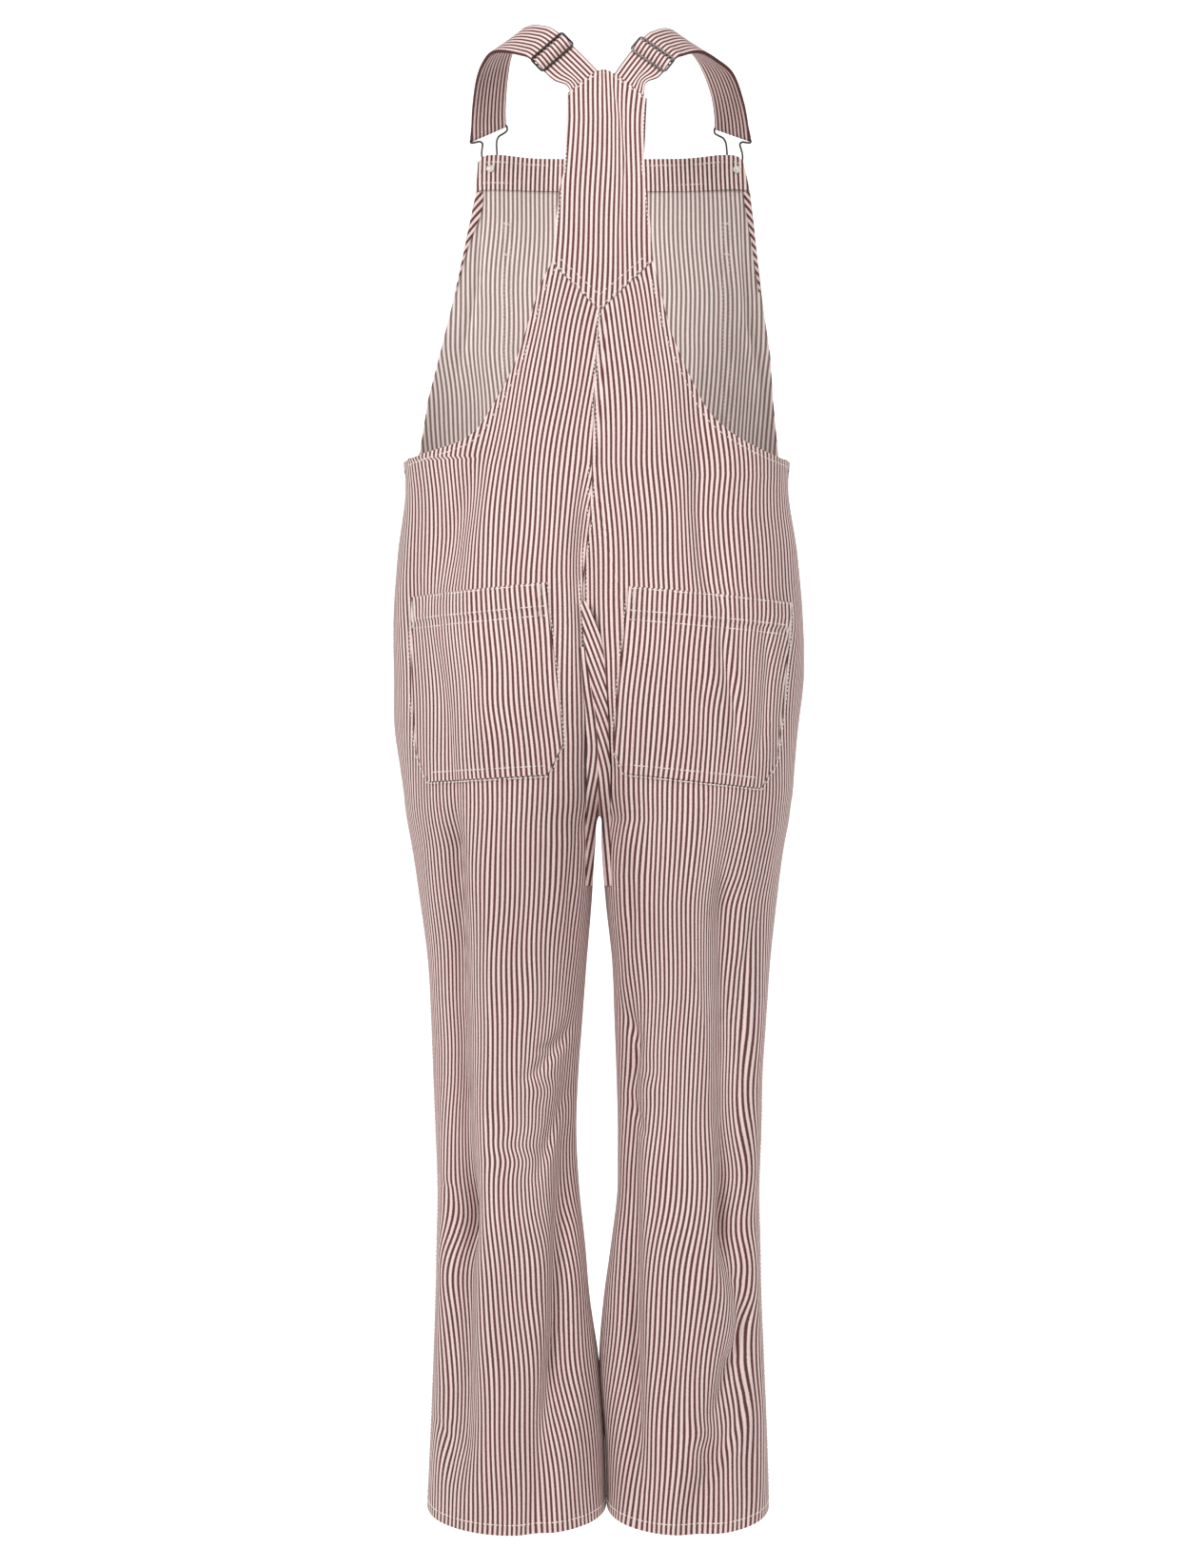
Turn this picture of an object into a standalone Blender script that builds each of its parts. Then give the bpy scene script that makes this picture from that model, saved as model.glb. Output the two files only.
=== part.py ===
"""Dungarees with back yoke, bib, buckled straps and two back pockets, hollow as they are worn.

Metres. +X is the wearer's right, +Y the wearer's front, +Z up. The origin lies between the two
straps at the height where they rest on the shoulders. Every piece of cloth is a thin closed wall
laid on one skin: a stack of level ovals (SECTIONS) with troughs pressed into it (FOLDS).
"""

from collections import namedtuple
from functools import lru_cache, partial
from math import cos, pi, radians, sin, tan

import bmesh
import bpy
import numpy as np
from mathutils import Matrix, Vector

# --- driving dimensions -------------------------------------------------------------------------
CLOTH = 0.0012  # one layer of cotton
DOUBLE = 0.0024  # two layers, as in the yoke, the waistband and every hem
SEAM = 0.0003  # gap between two pieces that are sewn edge to edge
LAP = 0.0011  # gap under a piece that lies on a panel
HEM_Z = -1.405  # foot of the legs at the sides
HEM_DIP = 0.006  # how much lower the legs hang at the back and front
HEM_DEPTH = 0.010
CROTCH_Z = -0.7450
SEAT_BLEND = 0.12  # height over the crotch in which the columns close up at the centre seam
SIDE_TOP_Z = -0.4120  # where the back's armhole edge meets the side
WAIST_Z = -0.4020  # seam between bib and waistband
BAND_FOOT_Z = -0.4380  # seam between waistband and front legs
YOKE_TIP = (0.0000, -0.2800)  # x, z of the yoke's lower point
STRAP_WIDTH = 0.034
STRAP_CLOTH = 0.0015
WIRE = 0.0020  # wire of the sliders and clips
SLIDER_LENGTH = 0.0190  # between its end bars
SLIDER_RAISE = 0.0008  # height of the slider's wires over the middle of the strap
TUCK = 0.009  # how far each strap runs in under the yoke
BUTTON_RADIUS = 0.0085
SHANK_RADIUS = 0.0028
SHANK_LENGTH = 0.0034
RIVET_RADIUS = 0.0036

LEFT, RIGHT = -1, 1
SIDE_NAME = {LEFT: "left", RIGHT: "right"}
BACK, FRONT = -1, 1
DENSE = 240  # points along a level oval when its length is measured
STEP = 0.0008  # share of a patch used to find its slope

PINK = (0.80, 0.62, 0.60)
PALE_PINK = (0.84, 0.70, 0.68)
DARK_METAL = (0.10, 0.09, 0.09)
PALE_METAL = (0.72, 0.71, 0.69)

# --- tables -------------------------------------------------------------------------------------
# One level oval a row. `left` and `right` are the side outlines. `left_in` and `right_in` are
# the inner ends: under the crotch they are the inseams, above it they reach past the middle and
# the oval is cut at the centre seam. `back` and `front` are depths, `square` is the roundness.
Section = namedtuple("Section", "z left left_in right_in right back front square")
SECTIONS = [
    Section(-1.420, -0.1635, 0.0050, 0.0070, 0.1605, 0.070, 0.062, 2.3),
    Section(-1.340, -0.1600, 0.0030, 0.0050, 0.1585, 0.068, 0.062, 2.3),
    Section(-1.260, -0.1570, -0.0035, 0.0005, 0.1555, 0.066, 0.064, 2.3),
    Section(-1.200, -0.1550, -0.0092, 0.0040, 0.1530, 0.064, 0.066, 2.3),
    Section(-1.150, -0.1540, -0.0135, 0.0108, 0.1520, 0.063, 0.069, 2.3),
    Section(-1.100, -0.1530, -0.0188, 0.0168, 0.1510, 0.062, 0.072, 2.3),
    Section(-1.040, -0.1550, -0.0218, 0.0172, 0.1530, 0.061, 0.073, 2.3),
    Section(-0.990, -0.1570, -0.0200, 0.0160, 0.1540, 0.062, 0.073, 2.3),
    Section(-0.936, -0.1590, -0.0160, 0.0140, 0.1575, 0.066, 0.073, 2.3),
    Section(-0.882, -0.1620, -0.0120, 0.0118, 0.1612, 0.075, 0.074, 2.3),
    Section(-0.828, -0.1690, -0.0075, 0.0060, 0.1670, 0.086, 0.076, 2.3),
    Section(-0.774, -0.1770, -0.0040, 0.0020, 0.1740, 0.097, 0.080, 2.35),
    Section(-0.745, -0.1822, -0.0008, 0.0008, 0.1792, 0.102, 0.084, 2.4),
    Section(-0.738, -0.1832, 0.0026, -0.0026, 0.1800, 0.103, 0.085, 2.4),
    Section(-0.725, -0.1845, 0.0100, -0.0100, 0.1820, 0.105, 0.086, 2.4),
    Section(-0.700, -0.1880, 0.0250, -0.0250, 0.1840, 0.109, 0.089, 2.4),
    Section(-0.666, -0.1930, 0.0500, -0.0500, 0.1870, 0.114, 0.092, 2.4),
    Section(-0.612, -0.1940, 0.1000, -0.1000, 0.1930, 0.116, 0.097, 2.4),
    Section(-0.560, -0.1945, 0.1400, -0.1400, 0.1920, 0.112, 0.100, 2.4),
    Section(-0.500, -0.1905, 0.1700, -0.1700, 0.1870, 0.103, 0.101, 2.5),
    Section(-0.423, -0.1830, 0.1780, -0.1830, 0.1780, 0.093, 0.101, 2.7),
    Section(-0.380, -0.1900, 0.1850, -0.1850, 0.1850, 0.091, 0.106, 2.7),
    Section(-0.300, -0.2150, 0.2250, -0.2150, 0.2250, 0.092, 0.114, 2.6),
    Section(-0.180, -0.2600, 0.2800, -0.2600, 0.2800, 0.093, 0.120, 2.5),
    Section(-0.050, -0.3000, 0.3200, -0.3000, 0.3200, 0.063, 0.110, 2.5),
]

# The centre back seam wanders to the left of the middle over the seat.
Seam = namedtuple("Seam", "z x")
CENTRE_BACK = [
    Seam(-0.760, 0.0000), Seam(-0.738, 0.0000), Seam(-0.674, -0.0026), Seam(-0.600, -0.0120),
    Seam(-0.537, -0.0157), Seam(-0.508, -0.0133), Seam(-0.474, -0.0089), Seam(-0.404, -0.0063),
    Seam(-0.335, -0.0038), Seam(-0.280, 0.0000),
]

# A trough pressed straight into the skin along a line from (x0, z0) to (x1, z1), as the pair of
# legs and seat is seen from that face. A negative depth is a ridge.
Fold = namedtuple("Fold", "face x0 z0 x1 z1 width depth")
FOLDS = [
    Fold(BACK, -0.136, -0.780, -0.129, -1.120, 0.0110, 0.016),  # long fold, left leg
    Fold(BACK, -0.129, -1.120, -0.131, -1.320, 0.0120, 0.013),
    Fold(BACK, 0.117, -0.835, 0.121, -1.130, 0.0110, 0.014),  # long fold, right leg
    Fold(BACK, 0.121, -1.130, 0.140, -1.220, 0.0110, 0.011),
    Fold(BACK, 0.140, -1.220, 0.092, -1.385, 0.0150, 0.010),
    Fold(BACK, -0.024, -1.010, -0.035, -1.270, 0.0120, 0.010),  # inner valleys
    Fold(BACK, -0.035, -1.270, -0.058, -1.395, 0.0130, 0.008),
    Fold(BACK, 0.024, -0.950, 0.026, -1.320, 0.0120, 0.010),
    Fold(BACK, -0.108, -0.410, -0.135, -0.490, 0.0150, 0.006),  # hips
    Fold(BACK, 0.092, -0.380, 0.108, -0.490, 0.0150, 0.006),
    Fold(BACK, -0.016, -0.500, -0.002, -0.700, 0.0110, 0.008),  # seat groove
    Fold(FRONT, -0.110, -0.760, -0.122, -1.300, 0.0140, 0.010),  # front creases
    Fold(FRONT, 0.112, -0.760, 0.118, -1.300, 0.0140, 0.010),
    Fold(FRONT, -0.030, -0.700, -0.090, -0.640, 0.0120, 0.006),
    Fold(FRONT, 0.030, -0.700, 0.088, -0.646, 0.0120, 0.006),
]

# The free edge of the back from the side (share 0) to the yoke's corner (share 1).
Edge = namedtuple("Edge", "share left_x left_z right_x right_z")
ARMHOLE = [
    Edge(0.00, -0.1815, -0.4120, 0.1790, -0.4130),
    Edge(0.12, -0.1640, -0.4080, 0.1600, -0.4085),
    Edge(0.28, -0.1230, -0.3950, 0.1264, -0.3935),
    Edge(0.44, -0.0980, -0.3650, 0.1036, -0.3737),
    Edge(0.60, -0.0780, -0.3280, 0.0842, -0.3410),
    Edge(0.76, -0.0640, -0.2860, 0.0667, -0.3017),
    Edge(0.90, -0.0533, -0.2540, 0.0580, -0.2700),
    Edge(1.00, -0.0438, -0.2355, 0.0490, -0.2340),
]

# Outline of the yoke above its corners, and of its arched top from side to side.
YokeRow = namedtuple("YokeRow", "z left right")
YOKE_SIDES = [
    YokeRow(-0.2350, -0.0438, 0.0490), YokeRow(-0.1700, -0.0370, 0.0442),
    YokeRow(-0.1500, -0.0324, 0.0406), YokeRow(-0.0780, -0.0302, 0.0440),
]
YokeTop = namedtuple("YokeTop", "share z")
YOKE_TOP = [
    YokeTop(0.00, -0.0770), YokeTop(0.20, -0.0660), YokeTop(0.40, -0.0570), YokeTop(0.55, -0.0530),
    YokeTop(0.75, -0.0630), YokeTop(1.00, -0.0815),
]

BibRow = namedtuple("BibRow", "z left right")
BIB_SIDES = [
    BibRow(-0.4020, -0.1740, 0.1720), BibRow(-0.3420, -0.1662, 0.1680),
    BibRow(-0.2980, -0.1560, 0.1660), BibRow(-0.2435, -0.1432, 0.1590),
    BibRow(-0.1990, -0.1340, 0.1544), BibRow(-0.1366, -0.1210, 0.1475),
    BibRow(-0.1028, -0.1190, 0.1410),
]
BIB_TOP_Z = -0.1028
BIB_TOP_Y = 0.1150
BIB_PULL = 0.0032  # how far the clips pull the bib's top up
BIB_TOP_BOW = 0.42  # how fast the bib's top falls back to its corners, per metre squared
FACING_DEPTH = 0.0320

# A back pocket: x of its two long edges and z of its top and bottom, inner end first.
Pocket = namedtuple("Pocket", "side share inner outer")
POCKET_EDGES = [
    Pocket(LEFT, 0.00, -0.0496, -0.1720), Pocket(LEFT, 0.50, -0.0395, -0.1720),
    Pocket(LEFT, 0.84, -0.0342, -0.1670), Pocket(LEFT, 1.00, -0.0480, -0.1560),
    Pocket(RIGHT, 0.00, 0.0270, 0.1757), Pocket(RIGHT, 0.50, 0.0180, 0.1690),
    Pocket(RIGHT, 0.86, 0.0139, 0.1610), Pocket(RIGHT, 1.00, 0.0244, 0.1470),
]
POCKET_TOP_Z = {LEFT: (-0.5313, -0.5425), RIGHT: (-0.5350, -0.5470)}
POCKET_FOOT_Z = {LEFT: (-0.7060, -0.7125), RIGHT: (-0.7045, -0.7185)}
POCKET_BAND = 0.024

BIB_POCKET_X = (-0.0950, 0.1290)
BIB_POCKET_Z = (-0.3650, -0.1650)

# Middle of each strap from the yoke over the shoulder to the clip, and the direction across it
# towards the neck.
Station = namedtuple("Station", "x y z across_x across_y across_z")
STRAPS = {
    LEFT: [
        Station(-0.0134, -0.0660, -0.0667, 0.80, 0.00, 0.60),
        Station(-0.0385, -0.0570, -0.0405, 0.74, 0.00, 0.67),
        Station(-0.0511, -0.0475, -0.0268, 0.74, 0.00, 0.67),
        Station(-0.0658, -0.0310, -0.0182, 0.75, 0.00, 0.66),
        Station(-0.0826, -0.0080, -0.0132, 0.79, 0.05, 0.61),
        Station(-0.0957, 0.0350, -0.0165, 0.84, 0.15, 0.54),
        Station(-0.1032, 0.0700, -0.0285, 0.88, 0.30, 0.48),
        Station(-0.1071, 0.0920, -0.0501, 0.90, 0.40, 0.37),
        Station(-0.1088, 0.1050, -0.0780, 0.91, 0.36, 0.34),
    ],
    RIGHT: [
        Station(0.0276, -0.0660, -0.0675, -0.74, 0.00, 0.68),
        Station(0.0446, -0.0570, -0.0433, -0.86, 0.00, 0.51),
        Station(0.0544, -0.0475, -0.0300, -0.86, 0.00, 0.51),
        Station(0.0648, -0.0300, -0.0209, -0.82, 0.00, 0.57),
        Station(0.0786, -0.0060, -0.0134, -0.81, 0.05, 0.58),
        Station(0.0975, 0.0350, -0.0160, -0.86, 0.15, 0.50),
        Station(0.1142, 0.0680, -0.0270, -0.90, 0.38, 0.38),
        Station(0.1246, 0.0910, -0.0490, -0.86, 0.50, 0.34),
        Station(0.1303, 0.1050, -0.0790, -0.88, 0.42, 0.33),
    ],
}
SLIDER_AT = {LEFT: 0.0550, RIGHT: 0.0490}  # from the tucked end to each slider's middle

# Half the outline of the wire clip: distance from its middle line, and distance under its bar.
ClipPoint = namedtuple("ClipPoint", "off down")
CLIP = [
    ClipPoint(0.0188, 0.0000), ClipPoint(0.0203, 0.0020), ClipPoint(0.0196, 0.0048),
    ClipPoint(0.0150, 0.0060), ClipPoint(0.0100, 0.0070), ClipPoint(0.0076, 0.0094),
    ClipPoint(0.0072, 0.0150), ClipPoint(0.0075, 0.0200), ClipPoint(0.0070, 0.0250),
    ClipPoint(0.0054, 0.0292), ClipPoint(0.0042, 0.0330),
]
BUTTON = {LEFT: (-0.1070, -0.1135), RIGHT: (0.1340, -0.1145)}  # x, z
STRAP_SKEW = 0.34  # slant of the strap's ends where the clip pulls it askew


# --- the skin -----------------------------------------------------------------------------------
def column(table, name, key, at):
    """The named column of a table at a key, with straight runs between the rows."""
    keys = [getattr(row, key) for row in table]
    return np.interp(at, keys, [getattr(row, name) for row in table])


def smooth_column(table, name, key, at):
    """As column, but rounded through the rows (a Catmull-Rom curve)."""
    keys = np.array([getattr(row, key) for row in table])
    values = np.array([getattr(row, name) for row in table])
    slopes = np.gradient(values, keys)
    at = np.clip(at, keys[0], keys[-1])
    i = np.clip(np.searchsorted(keys, at) - 1, 0, len(keys) - 2)
    gap = keys[i + 1] - keys[i]
    t = (at - keys[i]) / gap
    rise = values[i + 1] - values[i]
    bend = t * (1 - t) * ((1 - t) * (slopes[i] * gap - rise) - t * (slopes[i + 1] * gap - rise))
    low, high = np.minimum(values[i], values[i + 1]), np.maximum(values[i], values[i + 1])
    return np.clip(values[i] + t * rise + bend, low, high)


@lru_cache(maxsize=None)
def oval(side, face, z):
    """(middle, half width, depth, squareness) of one half's level oval."""
    outer = float(smooth_column(SECTIONS, SIDE_NAME[side], "z", z))
    inner = float(smooth_column(SECTIONS, SIDE_NAME[side] + "_in", "z", z))
    depth = float(smooth_column(SECTIONS, "back" if face == BACK else "front", "z", z))
    square = float(smooth_column(SECTIONS, "square", "z", z))
    return (outer + inner) / 2, abs(outer - inner) / 2, depth, square


def trough(face, x, z):
    """How deep the folds press the skin in at x, z."""
    depth = np.zeros_like(x)
    for fold in FOLDS:
        if fold.face != face:
            continue
        run = np.array([fold.x1 - fold.x0, fold.z1 - fold.z0])
        along = ((x - fold.x0) * run[0] + (z - fold.z0) * run[1]) / (run @ run)
        nearest = np.clip(along, 0, 1)
        off_x = x - fold.x0 - nearest * run[0]
        off_z = (z - fold.z0 - nearest * run[1]) / 3.0
        depth += fold.depth * np.exp(-(off_x**2 + off_z**2) / fold.width**2)
    return depth


def skin(side, face, x, z):
    """Points (n, 3) of the outer face of the cloth at x, all at one height or each at its own."""
    x = np.asarray(x, float)
    heights = np.broadcast_to(np.asarray(z, float), x.shape)
    ovals = np.array([oval(side, face, float(height)) for height in heights])
    middle, half, depth, square = ovals.T
    share = np.clip((x - middle) / half, -1, 1)
    y = (1 - np.abs(share) ** square) ** (1 / square)
    normal_x = np.sign(share) * np.abs(share) ** (square - 1) / half
    normal_y = y ** (square - 1) / depth
    length = np.hypot(normal_x, normal_y)
    # Folds die out towards the seams, so that back and front meet there.
    push = trough(face, x, heights) * (1 - np.abs(share) ** 6)
    return np.stack(
        [x - push * normal_x / length, face * (y * depth - push * normal_y / length), heights], axis=1
    )


@lru_cache(maxsize=None)
def level_run(side, face, z):
    """(shares of the length, x) along one half's oval, from its inner end out to the side seam."""
    middle, half, _, square = oval(side, face, z)
    turn = np.linspace(0, pi, DENSE)
    x = middle - side * half * np.sign(np.cos(turn)) * np.abs(np.cos(turn)) ** (2 / square)
    if z > CROTCH_Z:
        seam = float(column(CENTRE_BACK, "x", "z", z)) if face == BACK else 0.0
        seam += side * SEAM / 2
        x = np.concatenate([[seam], x[side * x > side * seam + 1e-6]])
    points = skin(side, face, x, z)
    lengths = np.concatenate([[0], np.cumsum(np.linalg.norm(np.diff(points, axis=0), axis=1))])
    return lengths / lengths[-1], x, lengths[-1]


def level_x(side, face, z, u):
    """x of the points a share u of the way from the inner end to the side, seam gaps left out.

    Over the crotch the centre seam cuts the oval short. Only the columns next to that seam close
    up there, so that the others run straight on from leg to seat.
    """
    shares, x, length = level_run(side, face, z)
    spare = 0.0
    if z > CROTCH_Z:
        fade = float(np.clip(1 - (z - CROTCH_Z) / SEAT_BLEND, 0, 1))
        spare = max(0.0, level_run(side, face, CROTCH_Z)[2] - length) * fade
    left = 1 - np.asarray(u, float)
    from_side = (length + spare) * left - spare * left**4
    gap = SEAM / 2
    inner_gap = gap if z <= CROTCH_Z else 0.0
    return np.interp(np.clip(1 - from_side / length, inner_gap / length, 1 - gap / length), shares, x)


def leg_point(side, face, u, z):
    points = skin(side, face, level_x(side, face, z, u), z)
    droop = np.clip((-1.25 - z) / (-1.25 - HEM_Z), 0, 1) ** 2
    points[:, 2] -= HEM_DIP * droop * np.sin(pi * np.clip(u, 0, 1))
    return points


# --- walls --------------------------------------------------------------------------------------
def material(name, colour, rough=0.9, metal=0.0):
    made = bpy.data.materials.get(name) or bpy.data.materials.new(name)
    made.use_nodes = True
    shader = made.node_tree.nodes["Principled BSDF"]
    shader.inputs["Base Color"].default_value = (*colour, 1)
    shader.inputs["Roughness"].default_value = rough
    shader.inputs["Metallic"].default_value = metal
    return made


def add_mesh(name, points, faces, look):
    mesh = bpy.data.meshes.new(name)
    mesh.from_pydata([tuple(map(float, point)) for point in points], [], faces)
    mesh.materials.append(look)
    piece = bpy.data.objects.new(name, mesh)
    bpy.context.collection.objects.link(piece)
    work = bmesh.new()
    work.from_mesh(mesh)
    bmesh.ops.recalc_face_normals(work, faces=work.faces)
    work.to_mesh(mesh)
    work.free()
    return piece


def wall(name, patch, us, vs, look, outer=0.0, inner=-CLOTH, outward=1):
    """Closed wall of cloth between two offsets of a patch(u array, v) -> points.

    `inner` and `outer` may be functions of v. `outward` is 1 where u x v already points out.
    """
    us, vs = np.asarray(us, float), np.asarray(vs, float)
    us_low, us_high = np.clip(us - STEP, us[0], us[-1]), np.clip(us + STEP, us[0], us[-1])
    layers = {"outer": [], "inner": []}
    for v in vs:
        v_low, v_high = max(v - STEP, vs[0]), min(v + STEP, vs[-1])
        across = patch(us_high, v) - patch(us_low, v)
        along = patch(us, v_high) - patch(us, v_low)
        normals = outward * np.cross(across, along)
        normals /= np.linalg.norm(normals, axis=1)[:, None]
        for layer, offset in (("outer", outer), ("inner", inner)):
            layers[layer].append(patch(us, v) + normals * (offset(v) if callable(offset) else offset))
    points = np.concatenate([np.concatenate(layers["outer"]), np.concatenate(layers["inner"])])
    width, height = len(us), len(vs)
    back = width * height
    faces = []
    for row in range(height - 1):
        for col in range(width - 1):
            a = row * width + col
            faces.append((a, a + 1, a + width + 1, a + width))
            faces.append((back + a, back + a + width, back + a + width + 1, back + a + 1))
    rim = list(range(width)) + [width * (row + 1) - 1 for row in range(1, height)]
    rim += [back - 1 - col for col in range(1, width)]
    rim += [width * row for row in range(height - 2, 0, -1)]
    for here, there in zip(rim, rim[1:] + rim[:1]):
        faces.append((here, there, there + back, here + back))
    return add_mesh(name, points, faces, look)


# --- legs, back and front -----------------------------------------------------------------------
def leg_heights(top):
    """Heights from the hem to the top: level steps, close together where the crotch curves."""
    below = np.linspace(HEM_Z + HEM_DEPTH, CROTCH_Z - 0.016, 19)
    crotch = [CROTCH_Z - 0.006, CROTCH_Z - 0.0005, CROTCH_Z + 0.0015, -0.7405, -0.7360, -0.7280]
    seat = np.linspace(-0.7160, -0.6600, 5)
    above = np.linspace(-0.6600, top, 9)[1:]
    return np.concatenate([[HEM_Z], below, crotch, seat, above])


def hem_inner(heights, v):
    """Inner offset of a leg's wall: double where the hem is turned up."""
    return -DOUBLE if v <= 1.01 / (len(heights) - 1) else -CLOTH


def back_patch(side, heights, u, v):
    """v from 0 at the hem to 1 at the side's top, and on to 2 at the yoke's seam."""
    if v <= 1:
        return leg_point(side, BACK, u, float(np.interp(v, np.linspace(0, 1, len(heights)), heights)))
    share = v - 1
    seam_x, side_x = level_x(side, BACK, SIDE_TOP_Z, [0.0, 1.0])
    spread = (level_x(side, BACK, SIDE_TOP_Z, u) - seam_x) / (side_x - seam_x)
    inner_z = SIDE_TOP_Z + share * (YOKE_TIP[1] - SEAM - SIDE_TOP_Z)
    inner_x = float(column(CENTRE_BACK, "x", "z", inner_z)) + side * SEAM / 2
    outer_x = float(column(ARMHOLE, SIDE_NAME[side] + "_x", "share", share))
    outer_z = float(column(ARMHOLE, SIDE_NAME[side] + "_z", "share", share)) - SEAM * share
    x = inner_x + spread * (outer_x - inner_x)
    z = inner_z + spread * (outer_z - inner_z)
    return skin(side, BACK, x, z)


def make_backs(look):
    heights = leg_heights(SIDE_TOP_Z)
    rows = np.concatenate([np.linspace(0, 1, len(heights)), np.linspace(1, 2, 9)[1:]])
    for side, name in ((LEFT, "back_left"), (RIGHT, "back_right")):
        patch = partial(back_patch, side, heights)
        inner = partial(hem_inner, heights)
        wall(name, patch, np.linspace(0, 1, 16), rows, look, inner=inner, outward=side)


def front_patch(side, heights, u, v):
    return leg_point(side, FRONT, u, float(np.interp(v, np.linspace(0, 1, len(heights)), heights)))


def make_fronts(look):
    heights = leg_heights(BAND_FOOT_Z - SEAM)
    for side, name in ((LEFT, "front_left"), (RIGHT, "front_right")):
        patch = partial(front_patch, side, heights)
        inner = partial(hem_inner, heights)
        rows = np.linspace(0, 1, len(heights))
        wall(name, patch, np.linspace(0, 1, 10), rows, look, inner=inner, outward=-side)


def waistband_patch(u, v):
    """u from -1 at the left side seam to 1 at the right one."""
    z = BAND_FOOT_Z + v * (WAIST_Z - SEAM - BAND_FOOT_Z)
    points = []
    for share in np.atleast_1d(u):
        side = LEFT if share < 0 else RIGHT
        x = level_x(side, FRONT, z, [abs(share)])
        points.append(skin(side, FRONT, x, z)[0])
    return np.array(points)


# --- yoke ---------------------------------------------------------------------------------------
def yoke_patch(u, v):
    """u from -1 at the left edge to 1 at the right one, v from the pointed foot to the top."""
    u = np.asarray(u, float)
    share = (u + 1) / 2
    top = smooth_column(YOKE_TOP, "z", "share", share)
    corner = np.where(u < 0, YOKE_SIDES[0].z - 0.0005, YOKE_SIDES[0].z + 0.0010)
    foot = YOKE_TIP[1] + np.abs(u) * (corner - YOKE_TIP[1])
    z = foot + v * (top - foot)
    left, right = column(YOKE_SIDES, "left", "z", z), column(YOKE_SIDES, "right", "z", z)
    x = np.where(u < 0, YOKE_TIP[0] + u * (YOKE_TIP[0] - left), YOKE_TIP[0] + u * (right - YOKE_TIP[0]))
    return skin(RIGHT, BACK, x, z)


# --- bib ----------------------------------------------------------------------------------------
def bib_skin(x, z):
    """The bib runs from the waist seam's oval to a nearly straight top."""
    x, z = np.broadcast_arrays(np.asarray(x, float), np.asarray(z, float))
    low = np.array([skin(LEFT if at < 0 else RIGHT, FRONT, [at], WAIST_Z)[0][1] for at in x])
    high = BIB_TOP_Y - BIB_TOP_BOW * (x - 0.011) ** 2
    rise = np.clip((z - WAIST_Z) / (BIB_TOP_Z - WAIST_Z), 0, 1)
    blend = 1 - (1 - rise) ** 1.8
    y = low * (1 - blend) + high * blend + 0.006 * np.sin(pi * rise)
    return np.stack([x, y, z], axis=1)


def bib_patch(u, v):
    """u from -1 at the left edge to 1 at the right one, v from the waist to the top."""
    z = WAIST_Z + v * (BIB_TOP_Z - WAIST_Z)
    left, right = float(column(BIB_SIDES, "left", "z", z)), float(column(BIB_SIDES, "right", "z", z))
    u = np.asarray(u, float)
    x = left + (u + 1) / 2 * (right - left)
    pulled = BIB_PULL * np.exp(-(((np.abs(u) - 0.85) / 0.18) ** 2))
    corner = 0.006 * np.clip((np.abs(u) - 0.93) / 0.07, 0, 1) ** 2
    return bib_skin(x, z + (pulled - corner) * np.clip((v - 0.85) / 0.15, 0, 1))


def bib_pocket_patch(u, v):
    x = BIB_POCKET_X[0] + np.asarray(u, float) * (BIB_POCKET_X[1] - BIB_POCKET_X[0])
    return bib_skin(x, BIB_POCKET_Z[0] + v * (BIB_POCKET_Z[1] - BIB_POCKET_Z[0]))


def make_bib(look, pale):
    columns = np.linspace(-1, 1, 15)
    foot_row = (WAIST_Z - BIB_TOP_Z + FACING_DEPTH) / (WAIST_Z - BIB_TOP_Z)
    rows = np.concatenate([np.linspace(0, foot_row, 9), np.linspace(foot_row, 1, 4)[1:]])
    wall("bib", bib_patch, columns, rows, pale, outward=-1)
    facing_in = -CLOTH - SEAM
    wall("bib_facing", bib_patch, columns, np.linspace(foot_row, 0.999, 4), look,
         outer=facing_in, inner=facing_in - CLOTH, outward=-1)
    wall("bib_pocket", bib_pocket_patch, np.linspace(0, 1, 10), np.linspace(0, 1, 7), look,
         outer=LAP + CLOTH, inner=LAP, outward=-1)
    wall("front_waistband", waistband_patch, np.linspace(-1, 1, 23), np.linspace(0, 1, 3), look,
         outer=0.0006, inner=0.0006 - DOUBLE, outward=-1)


# --- back pockets -------------------------------------------------------------------------------
def pocket_patch(side, u, v):
    """u from the inner edge to the outer one, v from the top down to the foot."""
    rows = [row for row in POCKET_EDGES if row.side == side]
    inner, outer = float(column(rows, "inner", "share", v)), float(column(rows, "outer", "share", v))
    u = np.asarray(u, float)
    top = POCKET_TOP_Z[side][0] + u * (POCKET_TOP_Z[side][1] - POCKET_TOP_Z[side][0])
    foot = POCKET_FOOT_Z[side][0] + u * (POCKET_FOOT_Z[side][1] - POCKET_FOOT_Z[side][0])
    return skin(side, BACK, inner + u * (outer - inner), top + v * (foot - top))


def pocket_outer(v):
    """The turned band makes the pocket's mouth double."""
    height = POCKET_TOP_Z[LEFT][0] - POCKET_FOOT_Z[LEFT][0]
    return LAP + (DOUBLE if v < POCKET_BAND / height + 0.001 else CLOTH)


def make_pockets(look):
    band_row = POCKET_BAND / (POCKET_TOP_Z[LEFT][0] - POCKET_FOOT_Z[LEFT][0])
    rows = np.concatenate([[0, band_row, band_row + 0.01], np.linspace(band_row + 0.1, 0.84, 6), [0.92, 1]])
    columns = 1 - (1 - np.linspace(0, 1, 13)) ** 1.25  # closer where the hip turns away
    for side, name in ((LEFT, "back_pocket_left"), (RIGHT, "back_pocket_right")):
        wall(name, partial(pocket_patch, side), columns, rows, look,
             outer=pocket_outer, inner=LAP, outward=-side)


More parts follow.
